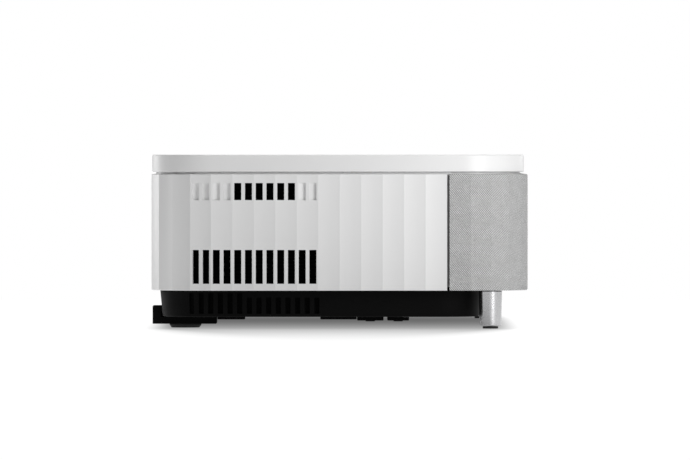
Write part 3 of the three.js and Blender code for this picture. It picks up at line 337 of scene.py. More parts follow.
# %% [markdown]
# ## Shader maths as Python
#
# A finish is a small network of nodes. Writing it as a formula is easier to read than wiring it:
# a `Value` wraps one socket, and adding, multiplying or comparing values adds the Math nodes.
# `Finish` owns the network and has the one method that makes any other node.


# %% Values and finishes
class Value:
    """One number coming out of a node. Arithmetic on it adds Math nodes."""

    def __init__(self, finish, socket):
        self.finish = finish
        self.socket = socket

    def _math(self, operation, first, second=None):
        inputs = {0: first} if second is None else {0: first, 1: second}
        return self.finish.node("Math", {"operation": operation}, inputs)

    def __add__(self, other):
        return self._math("ADD", self, other)

    def __sub__(self, other):
        return self._math("SUBTRACT", self, other)

    def __mul__(self, other):
        return self._math("MULTIPLY", self, other)

    def __truediv__(self, other):
        return self._math("DIVIDE", self, other)

    def __mod__(self, other):
        return self._math("FLOORED_MODULO", self, other)

    def __lt__(self, other):
        return self._math("LESS_THAN", self, other)

    def __rsub__(self, other):
        return self._math("SUBTRACT", other, self)

    __radd__ = __add__
    __rmul__ = __mul__

    def floor(self):
        return self._math("FLOOR", self)

    def sine(self):
        return self._math("SINE", self)

    def size(self):
        return self._math("ABSOLUTE", self)


class Finish:
    """A material with one Principled surface, built up by node()."""

    def __init__(self, name):
        self.material = bpy.data.materials.new(name)
        self.material.use_nodes = True
        self.tree = self.material.node_tree
        self.tree.nodes.clear()

    def node(self, kind, settings=None, inputs=None, output=0):
        """Makes a node of that type, with its settings first and then its sockets."""
        made = self.tree.nodes.new("ShaderNode" + kind)
        for key, value in (settings or {}).items():
            setattr(made, key, value)
        for key, value in (inputs or {}).items():
            if isinstance(value, Value):
                self.tree.links.new(value.socket, made.inputs[key])
            else:
                made.inputs[key].default_value = value
        return Value(self, made.outputs[output]) if len(made.outputs) else None

    def place(self, *stretch):
        """Object coordinates in metres, scaled along each axis."""
        where = self.node("TexCoord", output="Object")
        sockets = {"Vector": where, "Scale": stretch or (1, 1, 1)}
        return self.node("Mapping", {"vector_type": "POINT"}, sockets)

    def noise(self, scale, detail=2.0, where=None, rough=0.5):
        inputs = {"Vector": where or self.place(), "Scale": scale, "Detail": detail, "Roughness": rough}
        return self.node("TexNoise", {"noise_dimensions": "3D"}, inputs)

    def between(self, amount, low, high):
        """Colour that goes from low to high as amount goes from 0 to 1."""
        pair = {0: amount, 6: (*low, 1), 7: (*high, 1)}
        return self.node("Mix", {"data_type": "RGBA"}, pair, output=2)

    def bump(self, height, depth, strength=1.0):
        """A normal that follows height; depth is the height of 1, in metres."""
        return self.node("Bump", None, {"Height": height, "Distance": depth, "Strength": strength})

    def surface(self, **sockets):
        """The Principled surface; underscores in a name stand for spaces."""
        inputs = {key.replace("_", " "): value for key, value in sockets.items()}
        shader = self.node("BsdfPrincipled", None, inputs)
        self.node("OutputMaterial", None, {"Surface": shader})
        return self.material


def grey(value):
    return (value, value, value)


# %% [markdown]
# ## Finishes
#
# The case is white satin plastic: its moulding has a very fine grain that breaks up reflections,
# and its colour isn't quite even. The base is black plastic with a coarser spark-eroded grain.


# %% White and black moulded plastic
def moulded(name, low, high, rough, grain, depth, coat=0.0, shine=0.5):
    """Plastic between two colours, with grain of the given size in metres."""
    made = Finish(name)
    cloudy = made.noise(9.0, 3.0)
    fine = made.noise(0.35 / grain, 2.0)
    wear = made.noise(60.0, 4.0)
    return made.surface(
        Base_Color=made.between(cloudy, low, high),
        Roughness=rough + 0.1 * (wear - 0.5),
        Normal=made.bump(fine, depth, 0.6),
        Coat_Weight=coat,
        Coat_Roughness=0.25,
        Specular_IOR_Level=shine,
    )


white_plastic = moulded("white satin plastic", grey(0.79), grey(0.83), 0.42, 0.0006, 0.00002, 0.08)
black_plastic = moulded("black grained plastic", grey(0.002), grey(0.004), 0.6, 0.0007, 0.00004, 0.0, 0.07)
dark_plastic = moulded("black inner plastic", grey(0.001), grey(0.002), 0.7, 0.0009, 0.00004, 0.0, 0.03)
print("plastics ready")

# %% [markdown]
# The front is covered in a light grey cloth. Two sets of threads cross at a slant, each passing
# over one and under the next, so the weave shows fine diagonals. An image could show this, but a
# formula stays sharp at any distance. It is worked out from the cloth's own map, in metres along
# and up the cloth, so that it follows the flutes.

# %% Woven cloth
THREAD = 0.00095  # width of one thread, in metres


def woven():
    """Plain weave: crossing (i, j) has its warp on top where i + j is even. The height of a
    thread across its width is a half sine. along is measured at a slant, growing with up."""
    made = Finish("light woven cloth")
    flat = made.node("UVMap", {"uv_map": "cloth"})
    split = {"Vector": flat}
    up = made.node("SeparateXYZ", None, split, output=1) / THREAD
    along = made.node("SeparateXYZ", None, split, output=0) / THREAD + 0.2 * up
    over = ((along.floor() + up.floor()) % 2.0) < 1.0
    warp = (along * math.pi).sine().size()
    weft = (up * math.pi).sine().size()
    height = over * warp + (1.0 - over) * weft
    loose = made.noise(900.0, 2.0)
    cloudy = made.noise(120.0, 3.0)
    # The first factor darkens the tone where each thread dips at its edges, a painted shade between the threads.
    # The others make crossings with the weft on top darker and vary the tone at random.
    tone = (0.25 + 0.75 * height) * (0.4 + 0.6 * over) * (0.7 + 0.6 * loose) * (0.85 + 0.3 * cloudy)
    return made.surface(
        Base_Color=made.between(tone, grey(0.07), grey(0.92)),
        Roughness=0.9,
        Normal=made.bump(height + 0.3 * loose, 0.0004, 0.8),
        Specular_IOR_Level=0.2,
    )


cloth = woven()

# %% [markdown]
# The front feet are turned from aluminium and finished with a fine satin grain that runs round
# the leg. Rubber, cast metal, brass and glass finish the inner pieces.


# %% Metals
def satin(name, colour, rough, around=True, metallic=1.0):
    """Brushed metal: noise squeezed flat along Z gives fine rings round the leg."""
    made = Finish(name)
    lines = made.noise(40.0, 3.0, made.place(1, 1, 160 if around else 6))
    return made.surface(
        Base_Color=made.between(lines, tuple(0.92 * c for c in colour), colour),
        Metallic=metallic,
        Roughness=rough + 0.12 * (lines - 0.5),
        Normal=made.bump(lines, 0.00001, 0.5),
    )


satin_metal = satin("satin aluminium", (0.66, 0.66, 0.67), 0.24)
bright_metal = satin("plated steel", (0.62, 0.62, 0.64), 0.28, False)
cut_brass = satin("cut brass", (0.75, 0.58, 0.27), 0.3, False)


def cast(name, low, high):
    """Die-cast metal: a coarse grain and a dull, slightly uneven shine."""
    made = Finish(name)
    coarse = made.noise(400.0, 4.0)
    return made.surface(
        Base_Color=made.between(coarse, low, high),
        Metallic=0.85,
        Roughness=0.5 + 0.2 * coarse,
        Normal=made.bump(coarse, 0.0001, 0.5),
    )


cast_metal = cast("cast aluminium", grey(0.28), grey(0.40))
print("metals ready")


# %% Rubber, foam, glass, mirror and boards
def rubbery():
    made = Finish("black rubber")
    dust = made.noise(300.0, 4.0)
    return made.surface(
        Base_Color=made.between(dust, grey(0.012), grey(0.03)),
        Roughness=0.75 + 0.2 * dust,
        Normal=made.bump(dust, 0.00006, 0.5),
    )


def clear(name, tint, rough):
    made = Finish(name)
    film = made.noise(40.0, 2.0)
    return made.surface(
        Base_Color=tint,
        Roughness=rough + 0.04 * film,
        Coat_Weight=0.6,
        IOR=1.5,
        Transmission_Weight=0.55,
    )


def silvered():
    made = Finish("front-silvered mirror")
    film = made.noise(30.0, 2.0)
    return made.surface(Base_Color=(0.9, 0.93, 0.95, 1), Metallic=1.0, Roughness=0.02 + 0.05 * film)


def printed():
    """Circuit board: green lacquer over faint copper lanes."""
    made = Finish("lacquered circuit board")
    lanes = made.node("TexBrick", None, {"Vector": made.place(), "Scale": 60.0}, output=1)
    return made.surface(
        Base_Color=made.between(lanes, (0.012, 0.09, 0.05), (0.03, 0.17, 0.09)),
        Roughness=0.45,
        Normal=made.bump(lanes, 0.00005, 0.6),
    )


def plain(name, low, high, rough, scale=200.0):
    made = Finish(name)
    mottle = made.noise(scale, 3.0)
    return made.surface(
        Base_Color=made.between(mottle, low, high),
        Roughness=rough,
        Normal=made.bump(mottle, 0.00008, 0.5),
    )


rubber = rubbery()
seam_rubber = plain("grey seam rubber", grey(0.34), grey(0.42), 0.8, 300.0)
dark_glass = clear("coated glass", (0.30, 0.36, 0.45, 1), 0.03)
mirror = silvered()
board = printed()
foam = plain("filter felt", grey(0.05), grey(0.10), 0.95, 700.0)
phosphor = plain("phosphor coating", (0.55, 0.40, 0.05), (0.75, 0.58, 0.12), 0.6)
cone_paper = plain("coated paper cone", grey(0.012), grey(0.03), 0.7, 500.0)
print("all finishes ready")

# %% [markdown]
# ## The plan of the case
#
# Every upright wall follows one plan line: straight along the rear, a quarter turn at each
# corner, straight again along the sides. `rim` walks along that line. `fluted` breaks it into
# equal flutes: between two ridges the wall runs straight, and sinks in the middle by a parabola.


# %% Walk round the plan
def rim(along, inset):
    """Plan point at a distance along the wall from the middle of the rear edge, positive to +X,
    drawn in by inset. Past the straight it turns by (run - straight) / radius."""
    along, inset = np.broadcast_arrays(np.asarray(along, float), np.asarray(inset, float))
    run = np.abs(along)
    turn = np.clip((run - STRAIGHT) / RADIUS, 0, math.pi / 2)
    past = np.maximum(run - STRAIGHT - ARC, 0)
    x = np.minimum(run, STRAIGHT) + (RADIUS - inset) * np.sin(turn)
    y = DEPTH / 2 - RADIUS + (RADIUS - inset) * np.cos(turn) - past
    return np.stack([np.where(along < 0, -x, x), y], -1)


def fluted(along, reach, flutes, inset, dip):
    """Plan point on a fluted wall. Ridges stand at equal steps; between two of them the wall is
    the chord, sunk at right angles by dip * 4t(1 - t), where t runs from 0 to 1."""
    along, inset = np.broadcast_arrays(np.asarray(along, float), np.asarray(inset, float))
    pitch = 2 * reach / flutes
    flute = np.clip(np.floor((along + reach) / pitch + 1e-9), 0, flutes - 1)
    t = (along + reach) / pitch - flute
    start = rim(flute * pitch - reach, inset)
    end = rim((flute + 1) * pitch - reach, inset)
    chord = end - start
    inward = np.stack([chord[..., 1], -chord[..., 0]], -1) / np.linalg.norm(chord, axis=-1)[..., None]
    sink = dip * 4 * t * (1 - t)
    return start + chord * t[..., None] + inward * sink[..., None]


def upright(along, rows, reach, flutes, dip):
    """Grid of points on a fluted wall: one row for each (inset, z)."""
    rows = np.asarray(rows, float)
    flat = fluted(along[None], reach, flutes, rows[:, :1], dip)
    z = np.broadcast_to(rows[:, 1:], flat.shape[:2])[..., None]
    return np.concatenate([flat, z], -1)


# %% Lines along and up a fluted wall
def flute_lines(reach, flutes, shares, extra=()):
    """Places of the grid's columns: the same shares of every flute, and any extra places, which
    take the place of a column closer than 0.5 mm that isn't a ridge."""
    pitch = 2 * reach / flutes
    ridges = -reach + pitch * np.arange(flutes + 1)
    inner = (ridges[:-1, None] + pitch * np.asarray(shares)[None]).ravel()
    extra = np.asarray(extra, float)
    if len(extra):
        inner = inner[np.abs(inner[:, None] - extra[None]).min(1) > 0.5]
    every = np.unique(np.round(np.concatenate([ridges, inner, extra]), 5))
    fold = np.where(np.abs(every[:, None] - ridges[None]).min(1) < 1e-3, np.arange(len(every)), -1)
    return every, fold


def within(middles, low, high):
    return (middles > low) & (middles < high)


def openings_mask(along, heights, boxes):
    """True for each cell that is outside every box of (along0, along1, z0, z1)."""
    a = (along[1:] + along[:-1]) / 2
    z = (heights[1:] + heights[:-1]) / 2
    solid = np.ones((len(z), len(a)), bool)
    for a0, a1, z0, z1 in boxes:
        solid &= ~(within(z, z0, z1)[:, None] & within(a, a0, a1)[None])
    return solid


# %% [markdown]
# ## The white shell
#
# The shell wraps the rear and both sides in 61 flutes. The left side carries two rows of vent
# slots, two to a flute. In the upper row only the middle six go right through; the others are
# blind pockets. The right side has the doorway of the air filter and the hole of the power
# button, and the rear has the recess of the sockets. All of these are cells left out of the
# grid, so their edges are exact.

# %% Slots and openings of the shell
SLOT = 6.3  # width of a vent slot
LOW_SLOTS = (SHELL_Z + 6.2, SHELL_Z + 36.7)
HIGH_SLOTS = (SHELL_Z + 81.6, SHELL_Z + 97.0)
DIP = 0.7


def slot_places(side, first, count):
    """Middles of the slots, counted from the front seam, at a quarter and three quarters of each
    flute."""
    flute = first + np.arange(2 * count) // 2
    share = 0.25 + 0.5 * (np.arange(2 * count) % 2)
    return side * (SHELL_REACH - (flute + share) * PITCH)


def slot_boxes(places, rows):
    return [(p - SLOT / 2, p + SLOT / 2, z0, z1) for p in places for z0, z1 in rows]


left_slots = slot_places(-1, 6, 6)
blind_high = np.concatenate([left_slots[:2], left_slots[8:]])
door_low, door_high = span("filter_door")
door_from = SHELL_REACH - 11 * PITCH
door_to = SHELL_REACH - 6 * PITCH
doorway = (door_from, door_to, door_low[2] - 0.8, door_high[2] + 1.0)
tray_low, tray_high = span("port_tray")
socket_recess = (tray_low[0] + 2, tray_high[0] - 2, tray_low[2] + 2, tray_high[2] - 2)
inlet_low, inlet_high = span("ac_inlet")
inlet_hole = (inlet_low[0] - 0.3, inlet_high[0] + 0.3, inlet_low[2] - 0.3, inlet_high[2] + 0.3)
button_low, button_high = span("power_button")
button_z = (button_low[2] + button_high[2]) / 2
button_at = SHELL_REACH - 2.5 * PITCH
button_hole = (button_at - 6.3, button_at + 6.3, button_z - 6.3, button_z + 6.3)
print(len(left_slots), "vent places, of which", len(blind_high), "are blind in the upper row")


# %% The shell
def fluted_shell():
    boxes = slot_boxes(left_slots, [LOW_SLOTS, HIGH_SLOTS])
    boxes += [doorway, socket_recess, inlet_hole, button_hole]
    quarter = SLOT / 2 / PITCH
    middles = [m + side * quarter for m in (0.25, 0.75) for side in (-1, 0, 1)]
    shares = sorted(middles + [0.04, 0.5, 0.96])
    extra = [a for box in boxes[-3:] for a in box[:2]]
    along, fold = flute_lines(SHELL_REACH, SHELL_FLUTES, shares, extra)
    edges = [z for box in boxes for z in box[2:]]
    rise = np.unique(np.round(edges + [SHELL_Z + 3, SHELL_TOP - 3, 90, 103], 4))
    ease = 0.9
    turn = np.linspace(0, math.pi / 2, 5)
    low = np.stack([ease - ease * np.sin(turn), SHELL_Z + ease - ease * np.cos(turn)], -1)
    high = np.stack([ease - ease * np.cos(turn), SHELL_TOP - ease + ease * np.sin(turn)], -1)
    rows = np.concatenate([low, [(0, SHELL_Z + 1.2)], [(0, z) for z in rise], [(0, SHELL_TOP - 1.2)], high])
    outer = upright(along, rows, SHELL_REACH, SHELL_FLUTES, DIP)
    inner = upright(along, rows, SHELL_REACH, SHELL_FLUTES, 0.0)
    flat = fluted(along, SHELL_REACH, SHELL_FLUTES, WALL, 0.0)
    inner[..., :2] = flat[None]
    points, faces, used = walled(outer, inner, openings_mask(along, rows[:, 1], boxes))
    folds = np.concatenate([np.tile(fold, len(rows)), np.full(inner.shape[0] * inner.shape[1], -1)])
    return points, faces, folds[used]


points, faces, folds = fluted_shell()
shell = piece(
    "fluted_shell", points, faces, "chassis", white_plastic, "white_plastic", ["outer_shell"], 40, folds
)
soften(shell, 0.35)

# %% [markdown]
# A blind place in the upper row is a shallow wedge. It starts flush at its rear edge and sinks
# towards the front, so each one shades from light to dark.


# %% Floors of the blind places
def blind_floors():
    parts = []
    z0, z1 = HIGH_SLOTS
    for middle in blind_high:
        along = middle + np.array([-1, -0.33, 0.33, 1]) * (SLOT / 2 - 0.002)
        sink = np.array([2.7, 2.5, 2.2, 1.6])
        front = fluted(along, SHELL_REACH, SHELL_FLUTES, 0.0, DIP)
        back = fluted(along, SHELL_REACH, SHELL_FLUTES, WALL - 0.05, 0.0)
        way = (back - front) / np.linalg.norm(back - front, axis=1)[:, None]
        face = front + way * sink[:, None]
        ring = np.concatenate([face, back[::-1]])
        loops = [np.hstack([ring, np.full((len(ring), 1), z)]) for z in (z0 + 0.002, z1 - 0.002)]
        parts.append(stacked(loops))
    return together(*parts)


piece("blind_vent_floors", *blind_floors(), "chassis", white_plastic, "white_plastic")


# %% [markdown]
# Behind the open slots stands a black louvre, so that air passes but light from inside the case
# doesn't. Each blade is a flat section that leans outwards, carried along the wall's own line.


# %% Louvre blades behind the vents
def louvres():
    along = np.linspace(left_slots.min() - 6, left_slots.max() + 6, 24)
    parts = []
    rows = [np.arange(low - 3, high + 2, 3.3) for low, high in (LOW_SLOTS, HIGH_SLOTS)]
    heights = np.concatenate(rows)
    for z in heights:
        section = [(5.4, z), (5.4, z + 0.7), (9.4, z + 4.2), (9.4, z + 3.5)]
        loops = [
            np.hstack([rim(a, np.array([i for i, _ in section])), np.array([[h] for _, h in section])])
            for a in along
        ]
        parts.append(stacked(loops))
    return together(*parts)


piece("vent_louvres", *louvres(), "chassis", dark_plastic, "black_plastic")

# %% [markdown]
# A dark rubber strip closes the seam between the shell and the front cover from behind.


# %% Seam strips
def seam_strips():
    y = DEPTH / 2 - RADIUS - (SHELL_REACH - STRAIGHT - ARC)
    x = WIDTH / 2
    return together(*[
        block(*sorted((s * (x - 6.4), s * (x - 5.1))), y - 9, y + 6, SHELL_Z + 3.4, SHELL_TOP - 0.5, 0.5, 0.2, 3)
        for s in (-1, 1)
    ])


piece("seam_strips", *seam_strips(), "chassis", seam_rubber, "black_rubber")

# %% [markdown]
# ## The filter door and the power button
#
# The door is cut from the same fluted wall, so when it is shut the flutes run on across it. It
# carries ten slots to a row and hangs on two small pins at its lower edge.


# %% The filter door
def filter_door():
    low, high = door_low[2], door_high[2]
    places = slot_places(1, 6, 5)
    boxes = slot_boxes(places, [(low + 8, low + 38), (low + 46, high - 8)])
    quarter = SLOT / 2 / PITCH
    shares = [0.04, 0.25 - quarter, 0.25, 0.25 + quarter, 0.5, 0.75 - quarter, 0.75, 0.75 + quarter, 0.96]
    along, fold = flute_lines(SHELL_REACH, SHELL_FLUTES, shares, [door_from + 0.5, door_to - 0.5])
    keep = (along > door_from + 0.4) & (along < door_to - 0.4)
    along, fold = along[keep], fold[keep]
    rise = [low, low + 0.6] + sorted({z for box in boxes for z in box[2:]}) + [high - 0.6, high]
    rows = np.array([(0.0, z) for z in rise])
    rows[[0, -1], 0] = 0.35
    outer = upright(along, rows, SHELL_REACH, SHELL_FLUTES, DIP)
    inner = outer.copy()
    inner[..., :2] = fluted(along, SHELL_REACH, SHELL_FLUTES, WALL, 0.0)[None]
    points, faces, used = walled(outer, inner, openings_mask(along, rows[:, 1], boxes))
    folds = np.concatenate([np.tile(fold, len(rows)), np.full(outer.shape[0] * outer.shape[1], -1)])[used]
    pins = [turned([(0, 0), (0.8, 0), (0.8, 2.1), (0, 2.1)], "y", (door_high[0] - 1.5, y, low + 1.5), 16)
            for y in (door_low[1], door_high[1] - 2.1)]
    points, faces = together((points, faces), *pins)
    return points, faces, np.concatenate([folds, np.full(len(points) - len(folds), -1)])


points, faces, folds = filter_door()
door = piece(
    "fluted_door", points, faces, "service_door", white_plastic, "white_plastic", ["filter_door"], 40, folds
)
soften(door, 0.3)


# %% The power button and its ring
def dished(radius, face, back, dish):
    """Section of a cap: a shallow bowl of depth dish, an eased edge, a straight side."""
    r = np.linspace(0, radius - 0.8, 8)
    bowl = np.stack([r, face - dish * (1 - (r / radius) ** 2)], -1)
    edge = eased([(radius - 0.8, face), (radius, face), (radius, back), (0, back)], [0, 0.6, 0, 0], 4)
    return np.concatenate([bowl, edge])


button_y = (button_low[1] + button_high[1]) / 2
face_x = button_high[0]
cap = turned(dished(6.0, face_x, face_x - 6.5, 0.45), "x", (0, button_y, button_z))
piece("power_key_cap", *cap, "power_key", white_plastic, "white_plastic", ["power_button"])
ring_section = eased(
    [(6.4, face_x - 4), (6.4, face_x + 0.25), (9.25, face_x + 0.25), (9.25, face_x - 4)], [0, 0.4, 0.6, 0], 3, True
)
ring = turned(ring_section, "x", (0, button_y, button_z), 72, True)
piece("power_key_ring", *ring, "chassis", bright_metal, "satin_metal")

# %% [markdown]
# ## The lid
#
# The lid is one closed band: its section runs from the inner rim, under the edge, up the side,
# over the top to the lens opening, down, and back along the hollow underside. Its outer part
# follows the plan of the lid and its inner part the plan of the opening, and because both
# outlines have matching points, the flat between them spans cleanly.

# %% The lid
shutter_low, shutter_high = span("shutter_panel")
OPENING = (-100.0, 100.0, -6.0, 114.0, 14.0)
SKIN = 3.0


def lid_band():
    around = Outline(lid_low[0], lid_high[0], lid_low[1], lid_high[1], RADIUS - 2.4, 24)
    opening = Outline(*OPENING, 24)
    outside = eased(
        [(7.5, LID_Z + 5), (7.5, LID_Z), (0, LID_Z), (0, LID_TOP), (9, LID_TOP)], [0, 0.4, 0.9, 1.3, 0], 6
    )
    inside = eased(
        [(-3, LID_TOP), (0, LID_TOP), (0, LID_TOP - SKIN), (-3, LID_TOP - SKIN)], [0, 0.7, 0.3, 0], 4
    )
    roof = around.ring(7.5, LID_TOP - SKIN)
    return stacked(np.concatenate([around.rings(outside), opening.rings(inside), roof[None]]), True)


piece("lid", *lid_band(), "chassis", white_plastic, "white_plastic", ["top_lid"])


# %% Channels that the shutter runs in
def channel(side):
    """A U-shaped section, open towards the middle, carried straight along Y."""
    web, grip, thin = shutter_high[0] + 0.5, shutter_high[0] - 3, shutter_low[2] - 0.5
    top = LID_TOP - SKIN - 0.02
    section = np.array([
        (grip, thin - 1.8), (web + 2.2, thin - 1.8), (web + 2.2, top), (web, top), (web, thin), (grip, thin),
    ])
    y = np.array([shutter_low[1] - 2, 120.0])
    loops = [np.stack([side * section[:, 0], np.full(6, v), section[:, 1]], -1) for v in y]
    return stacked(loops)


piece("shutter_channels", *together(channel(-1), channel(1)), "chassis", dark_plastic, "black_plastic")

# %% [markdown]
# The shutter is a thin plate with a row of fine ribs for a fingertip.


# %% The shutter and its ribs
def shutter():
    x, y1, z = shutter_high[0], shutter_high[1], shutter_high[2]
    plate = block(-x, x, shutter_low[1], y1, shutter_low[2], z, 6, 0.4, 10)
    starts = [y1 - 22 + 2.4 * k for k in range(6)]
    ribs = [block(-22, 22, y, y + 1.2, z - 0.2, z + 0.35, 0.6, 0.3, 4) for y in starts]
    return together(plate, *ribs)


piece("shutter_plate", *shutter(), "shutter", white_plastic, "white_plastic", ["shutter_panel"])


# %% [markdown]
# ## The lens bay
#
# Under the opening a black funnel narrows to a pane of coated glass. Its walls are stepped like
# a staircase, so that stray light is caught between the steps.


# %% The stepped funnel
def funnel():
    low, high = span("lens_well")
    top = Outline(*OPENING, 12).ring(0, 0)[:, :2]
    floor = Outline(-76, 76, 12, 96, 8, 12).ring(0, 0)[:, :2]
    hole = Outline(-70, 70, 17, 91, 5, 12).ring(0, 0)[:, :2]
    steps = 9
    rise = np.linspace(high[2], low[2] + 3, steps + 1)
    share = np.linspace(0, 1, steps + 1)
    lay = lambda flat, z: np.hstack([flat, np.full((len(flat), 1), z)])
    mix = lambda t: (1 - t) * top + t * floor
    loops = [lay(mix(share[k // 2 + k % 2]), rise[k // 2]) for k in range(2 * steps)]
    loops += [lay(mix(1.0), rise[-1]), lay(hole, rise[-1]), lay(hole, low[2])]
    from_middle = lambda t: mix(t) - [0, 54]
    outside = lambda t: mix(t) + 2.4 * np.sign(from_middle(t)) * np.minimum(1, np.abs(from_middle(t)) / 40)
    loops += [lay(outside(1.0), low[2]), lay(outside(0.0), high[2])]
    return stacked(loops, True)


piece("stepped_funnel", *funnel(), "chassis", dark_plastic, "black_plastic", ["lens_well"], 20)
pane_low, pane_high = span("projection_window")
pane = block(pane_low[0], pane_high[0], pane_low[1], pane_high[1], pane_low[2], pane_high[2], 5, 0.5)
piece("window_pane", *pane, "chassis", dark_glass, "dark_glass", ["projection_window"])

# %% [markdown]
# ## The cloth front
#
# The cover is a black frame with a woven sleeve stretched over it. The sleeve is drawn tight
# between the frame's ridges, so its flutes are almost flat, and it is tucked in along the top
# and bottom.


# %% The sleeve
def sleeve():
    along, fold = flute_lines(COVER_REACH, COVER_FLUTES, [0.03, 0.08, 0.25, 0.5, 0.75, 0.92, 0.97])
    ease = 1.2
    turn = np.linspace(0, math.pi / 2, 5)
    low = np.stack([ease - ease * np.sin(turn), SHELL_Z + ease - ease * np.cos(turn)], -1)
    high = np.stack([ease - ease * np.cos(turn), SHELL_TOP - ease + ease * np.sin(turn)], -1)
    rise = np.linspace(SHELL_Z + 2, SHELL_TOP - 2, 12)
    rows = np.concatenate([low, [(0, z) for z in rise], high])
    outer = upright(along, rows, COVER_REACH, COVER_FLUTES, 0.25)
    inner = outer.copy()
    inner[..., :2] = fluted(along, COVER_REACH, COVER_FLUTES, 1.25, 0.0)[None]
    outer[..., :2] *= -1
    inner[..., :2] *= -1
    solid = np.ones((len(rows) - 1, len(along) - 1), bool)
    points, faces, used = walled(outer, inner, solid)
    flat = np.stack(np.broadcast_arrays(along[None], rows[:, 1:]), -1).reshape(-1, 2) / 1000
    folds = np.concatenate([np.tile(fold, len(rows)), np.full(outer.shape[0] * outer.shape[1], -1)])
    return points, faces, folds[used], np.concatenate([flat, flat])[used]


points, faces, folds, uv = sleeve()
woven_sleeve = piece(
    "woven_sleeve", points, faces, "front_cover", cloth, "light_cloth", ["grille_cloth"], 50, folds, uv
)
cut = (2 * COVER_REACH / 1000, (SHELL_TOP - SHELL_Z) / 1000)

# %% [markdown]
# ## The black base
#
# The base is a drafted tub under the case, with fourteen upright slots on each side where cool
# air is drawn in. The six rear slots are tall; the others stop under a bar.

# %% Slots of the base
TUB = dict(rear=8.0, sides=22.0, front=41.5, draft=2.3, radius=40.0)
slot_y = DEPTH / 2 - 32.5 - (np.arange(14) + 0.5) * 8.7
BAR_Z = SHELL_Z - 6.5


# %% The tub
def tub():
    x = WIDTH / 2 - TUB["sides"]
    y0, y1 = -DEPTH / 2 + TUB["front"], DEPTH / 2 - TUB["rear"]
    stops = np.concatenate([slot_y - 2.3, slot_y + 2.3])
    around = Outline(-x, x, y0, y1, TUB["radius"], 20, stops)
    lean = lambda z: TUB["draft"] * (SHELL_Z - z) / (SHELL_Z - BASE_Z)
    heights = [SHELL_Z - 0.3, SHELL_Z - 2.5, BAR_Z, 21, BASE_Z + 3]
    turn = np.linspace(0, math.pi / 2, 6)
    foot = np.stack([lean(BASE_Z) + 2.2 - 2.2 * np.cos(turn), BASE_Z + 2.2 - 2.2 * np.sin(turn)], -1)
    section = np.concatenate([[(0, SHELL_Z + 3)], [(lean(z), z) for z in heights], foot, [(6, BASE_Z)]])
    outer = around.rings(section)
    inner = around.rings(section + [2.5, 0] + np.clip(BASE_Z + 3 - section[:, 1:], 0, 2.5) * [0, 1])
    z = (section[1:, 1] + section[:-1, 1]) / 2
    edge = outer[0]
    middle = (edge + np.roll(edge, -1, 0)) / 2
    side = (np.abs(middle[:, 0]) > x - 6)[None]
    near = np.abs(middle[:, 1][None] - slot_y[:, None]) < 2.0
    tall = near[:6].any(0)[None] & ((z > BASE_Z + 3) & (z < SHELL_Z - 2.5))[:, None]
    short = near[6:].any(0)[None] & ((z > BASE_Z + 3) & (z < BAR_Z))[:, None]
    points, faces, _ = walled(outer, inner, ~(side & (tall | short)), True, True)
    return points, faces


def flange():
    """The ledge that the shell stands on, from the tub's wall out to just inside the shell."""
    x, y1 = WIDTH / 2, DEPTH / 2
    out = Outline(-x + 5.3, x - 5.3, -y1 + 7.3, y1 - 4.2, 53.8, 20)
    wall = Outline(-x + 24, x - 24, -y1 + 43, y1 - 10, 38, 20)
    return stacked(np.concatenate([
        out.rings([(0, SHELL_Z), (0, SHELL_Z + 3)]), wall.rings([(0, SHELL_Z + 3), (0, SHELL_Z)])
    ]), True)


def bosses():
    parts = []
    for name in ("front_left_leg", "front_right_leg"):
        low, high = span(name)
        middle = (low + high) / 2
        section = [(4.4, SHELL_Z + 2), (9, SHELL_Z + 2), (9, SHELL_Z + 22), (4.4, SHELL_Z + 22)]
        parts.append(turned(section, "z", (middle[0], middle[1], 0), 48, True))
    return together(*parts)


def screens():
    """Dust screens a little way behind the slots."""
    x = WIDTH / 2 - TUB["sides"] - 6.5
    spans = [sorted((s * x, s * x - s)) for s in (-1, 1)]
    return [block(*span_x, -4, 138, BASE_Z + 2, SHELL_Z + 1, 0.45, 0.1, 2) for span_x in spans]


whole_tub = together(tub(), flange(), bosses(), *screens())
piece("slotted_tub", *whole_tub, "chassis", black_plastic, "black_plastic", ["base_pan"])


# %% Pads and buttons under the base, where a ceiling bracket would bolt on
def ceiling_pads():
    parts = []
    rows = [(59.6, 25, 3, 0), (153, 33, 3, 0), (186.4, 24, 4, 4.3), (213.8, 19.8, 4, 4.3)]
    for side in (-1, 1):
        for start, length, drop, dot in rows:
            y = DEPTH / 2 - start
            parts.append(block(side * 250 - 21, side * 250 + 21, y - length, y, BASE_Z - drop, BASE_Z + 1, 3, 0.6))
            if dot:
                tip = BASE_Z - drop - 1
                section = eased([(0, tip), (dot, tip), (dot, BASE_Z)], [0, 0.4, 0], 3)
                parts.append(turned(section, "z", (side * 250, y - length / 2, 0), 40))
    return together(*parts)


piece("ceiling_pads", *ceiling_pads(), "chassis", black_plastic, "black_plastic")


# %% Countersunk screws in the base
def screws():
    profile = [(0, -0.1), (0.9, -0.1), (1.1, -0.55), (3.2, -0.55), (3.6, 0.3), (0, 0.3)]
    head = eased(profile, [0, 0, 0, 0.2, 0, 0], 3)
    places = [(x, y) for x in (-180, 0, 180) for y in (-90, 120)] + [(-285, -60), (285, -60)]
    return together(*[turned(head, "z", (x, y, BASE_Z), 28) for x, y in places])


piece("base_screws", *screws(), "chassis", bright_metal, "satin_metal")

# %% [markdown]
# ## Feet
#
# The front stands on two turned legs that screw up and down; a rubber pad stays still on the
# table while its leg turns. The rear stands on two thick pads under sheet brackets.


# %% Front legs and their pads
def leg_section(low, high):
    z0, z1 = low[2], SHELL_Z - 0.4
    corners = [(2.4, z0 + 6), (2.4, z0), (9.9, z0), (10.5, z1), (4, z1), (4, high[2]), (0, high[2])]
    return eased(corners, [0, 0, 0.9, 0.6, 0, 0.5, 0], 5)


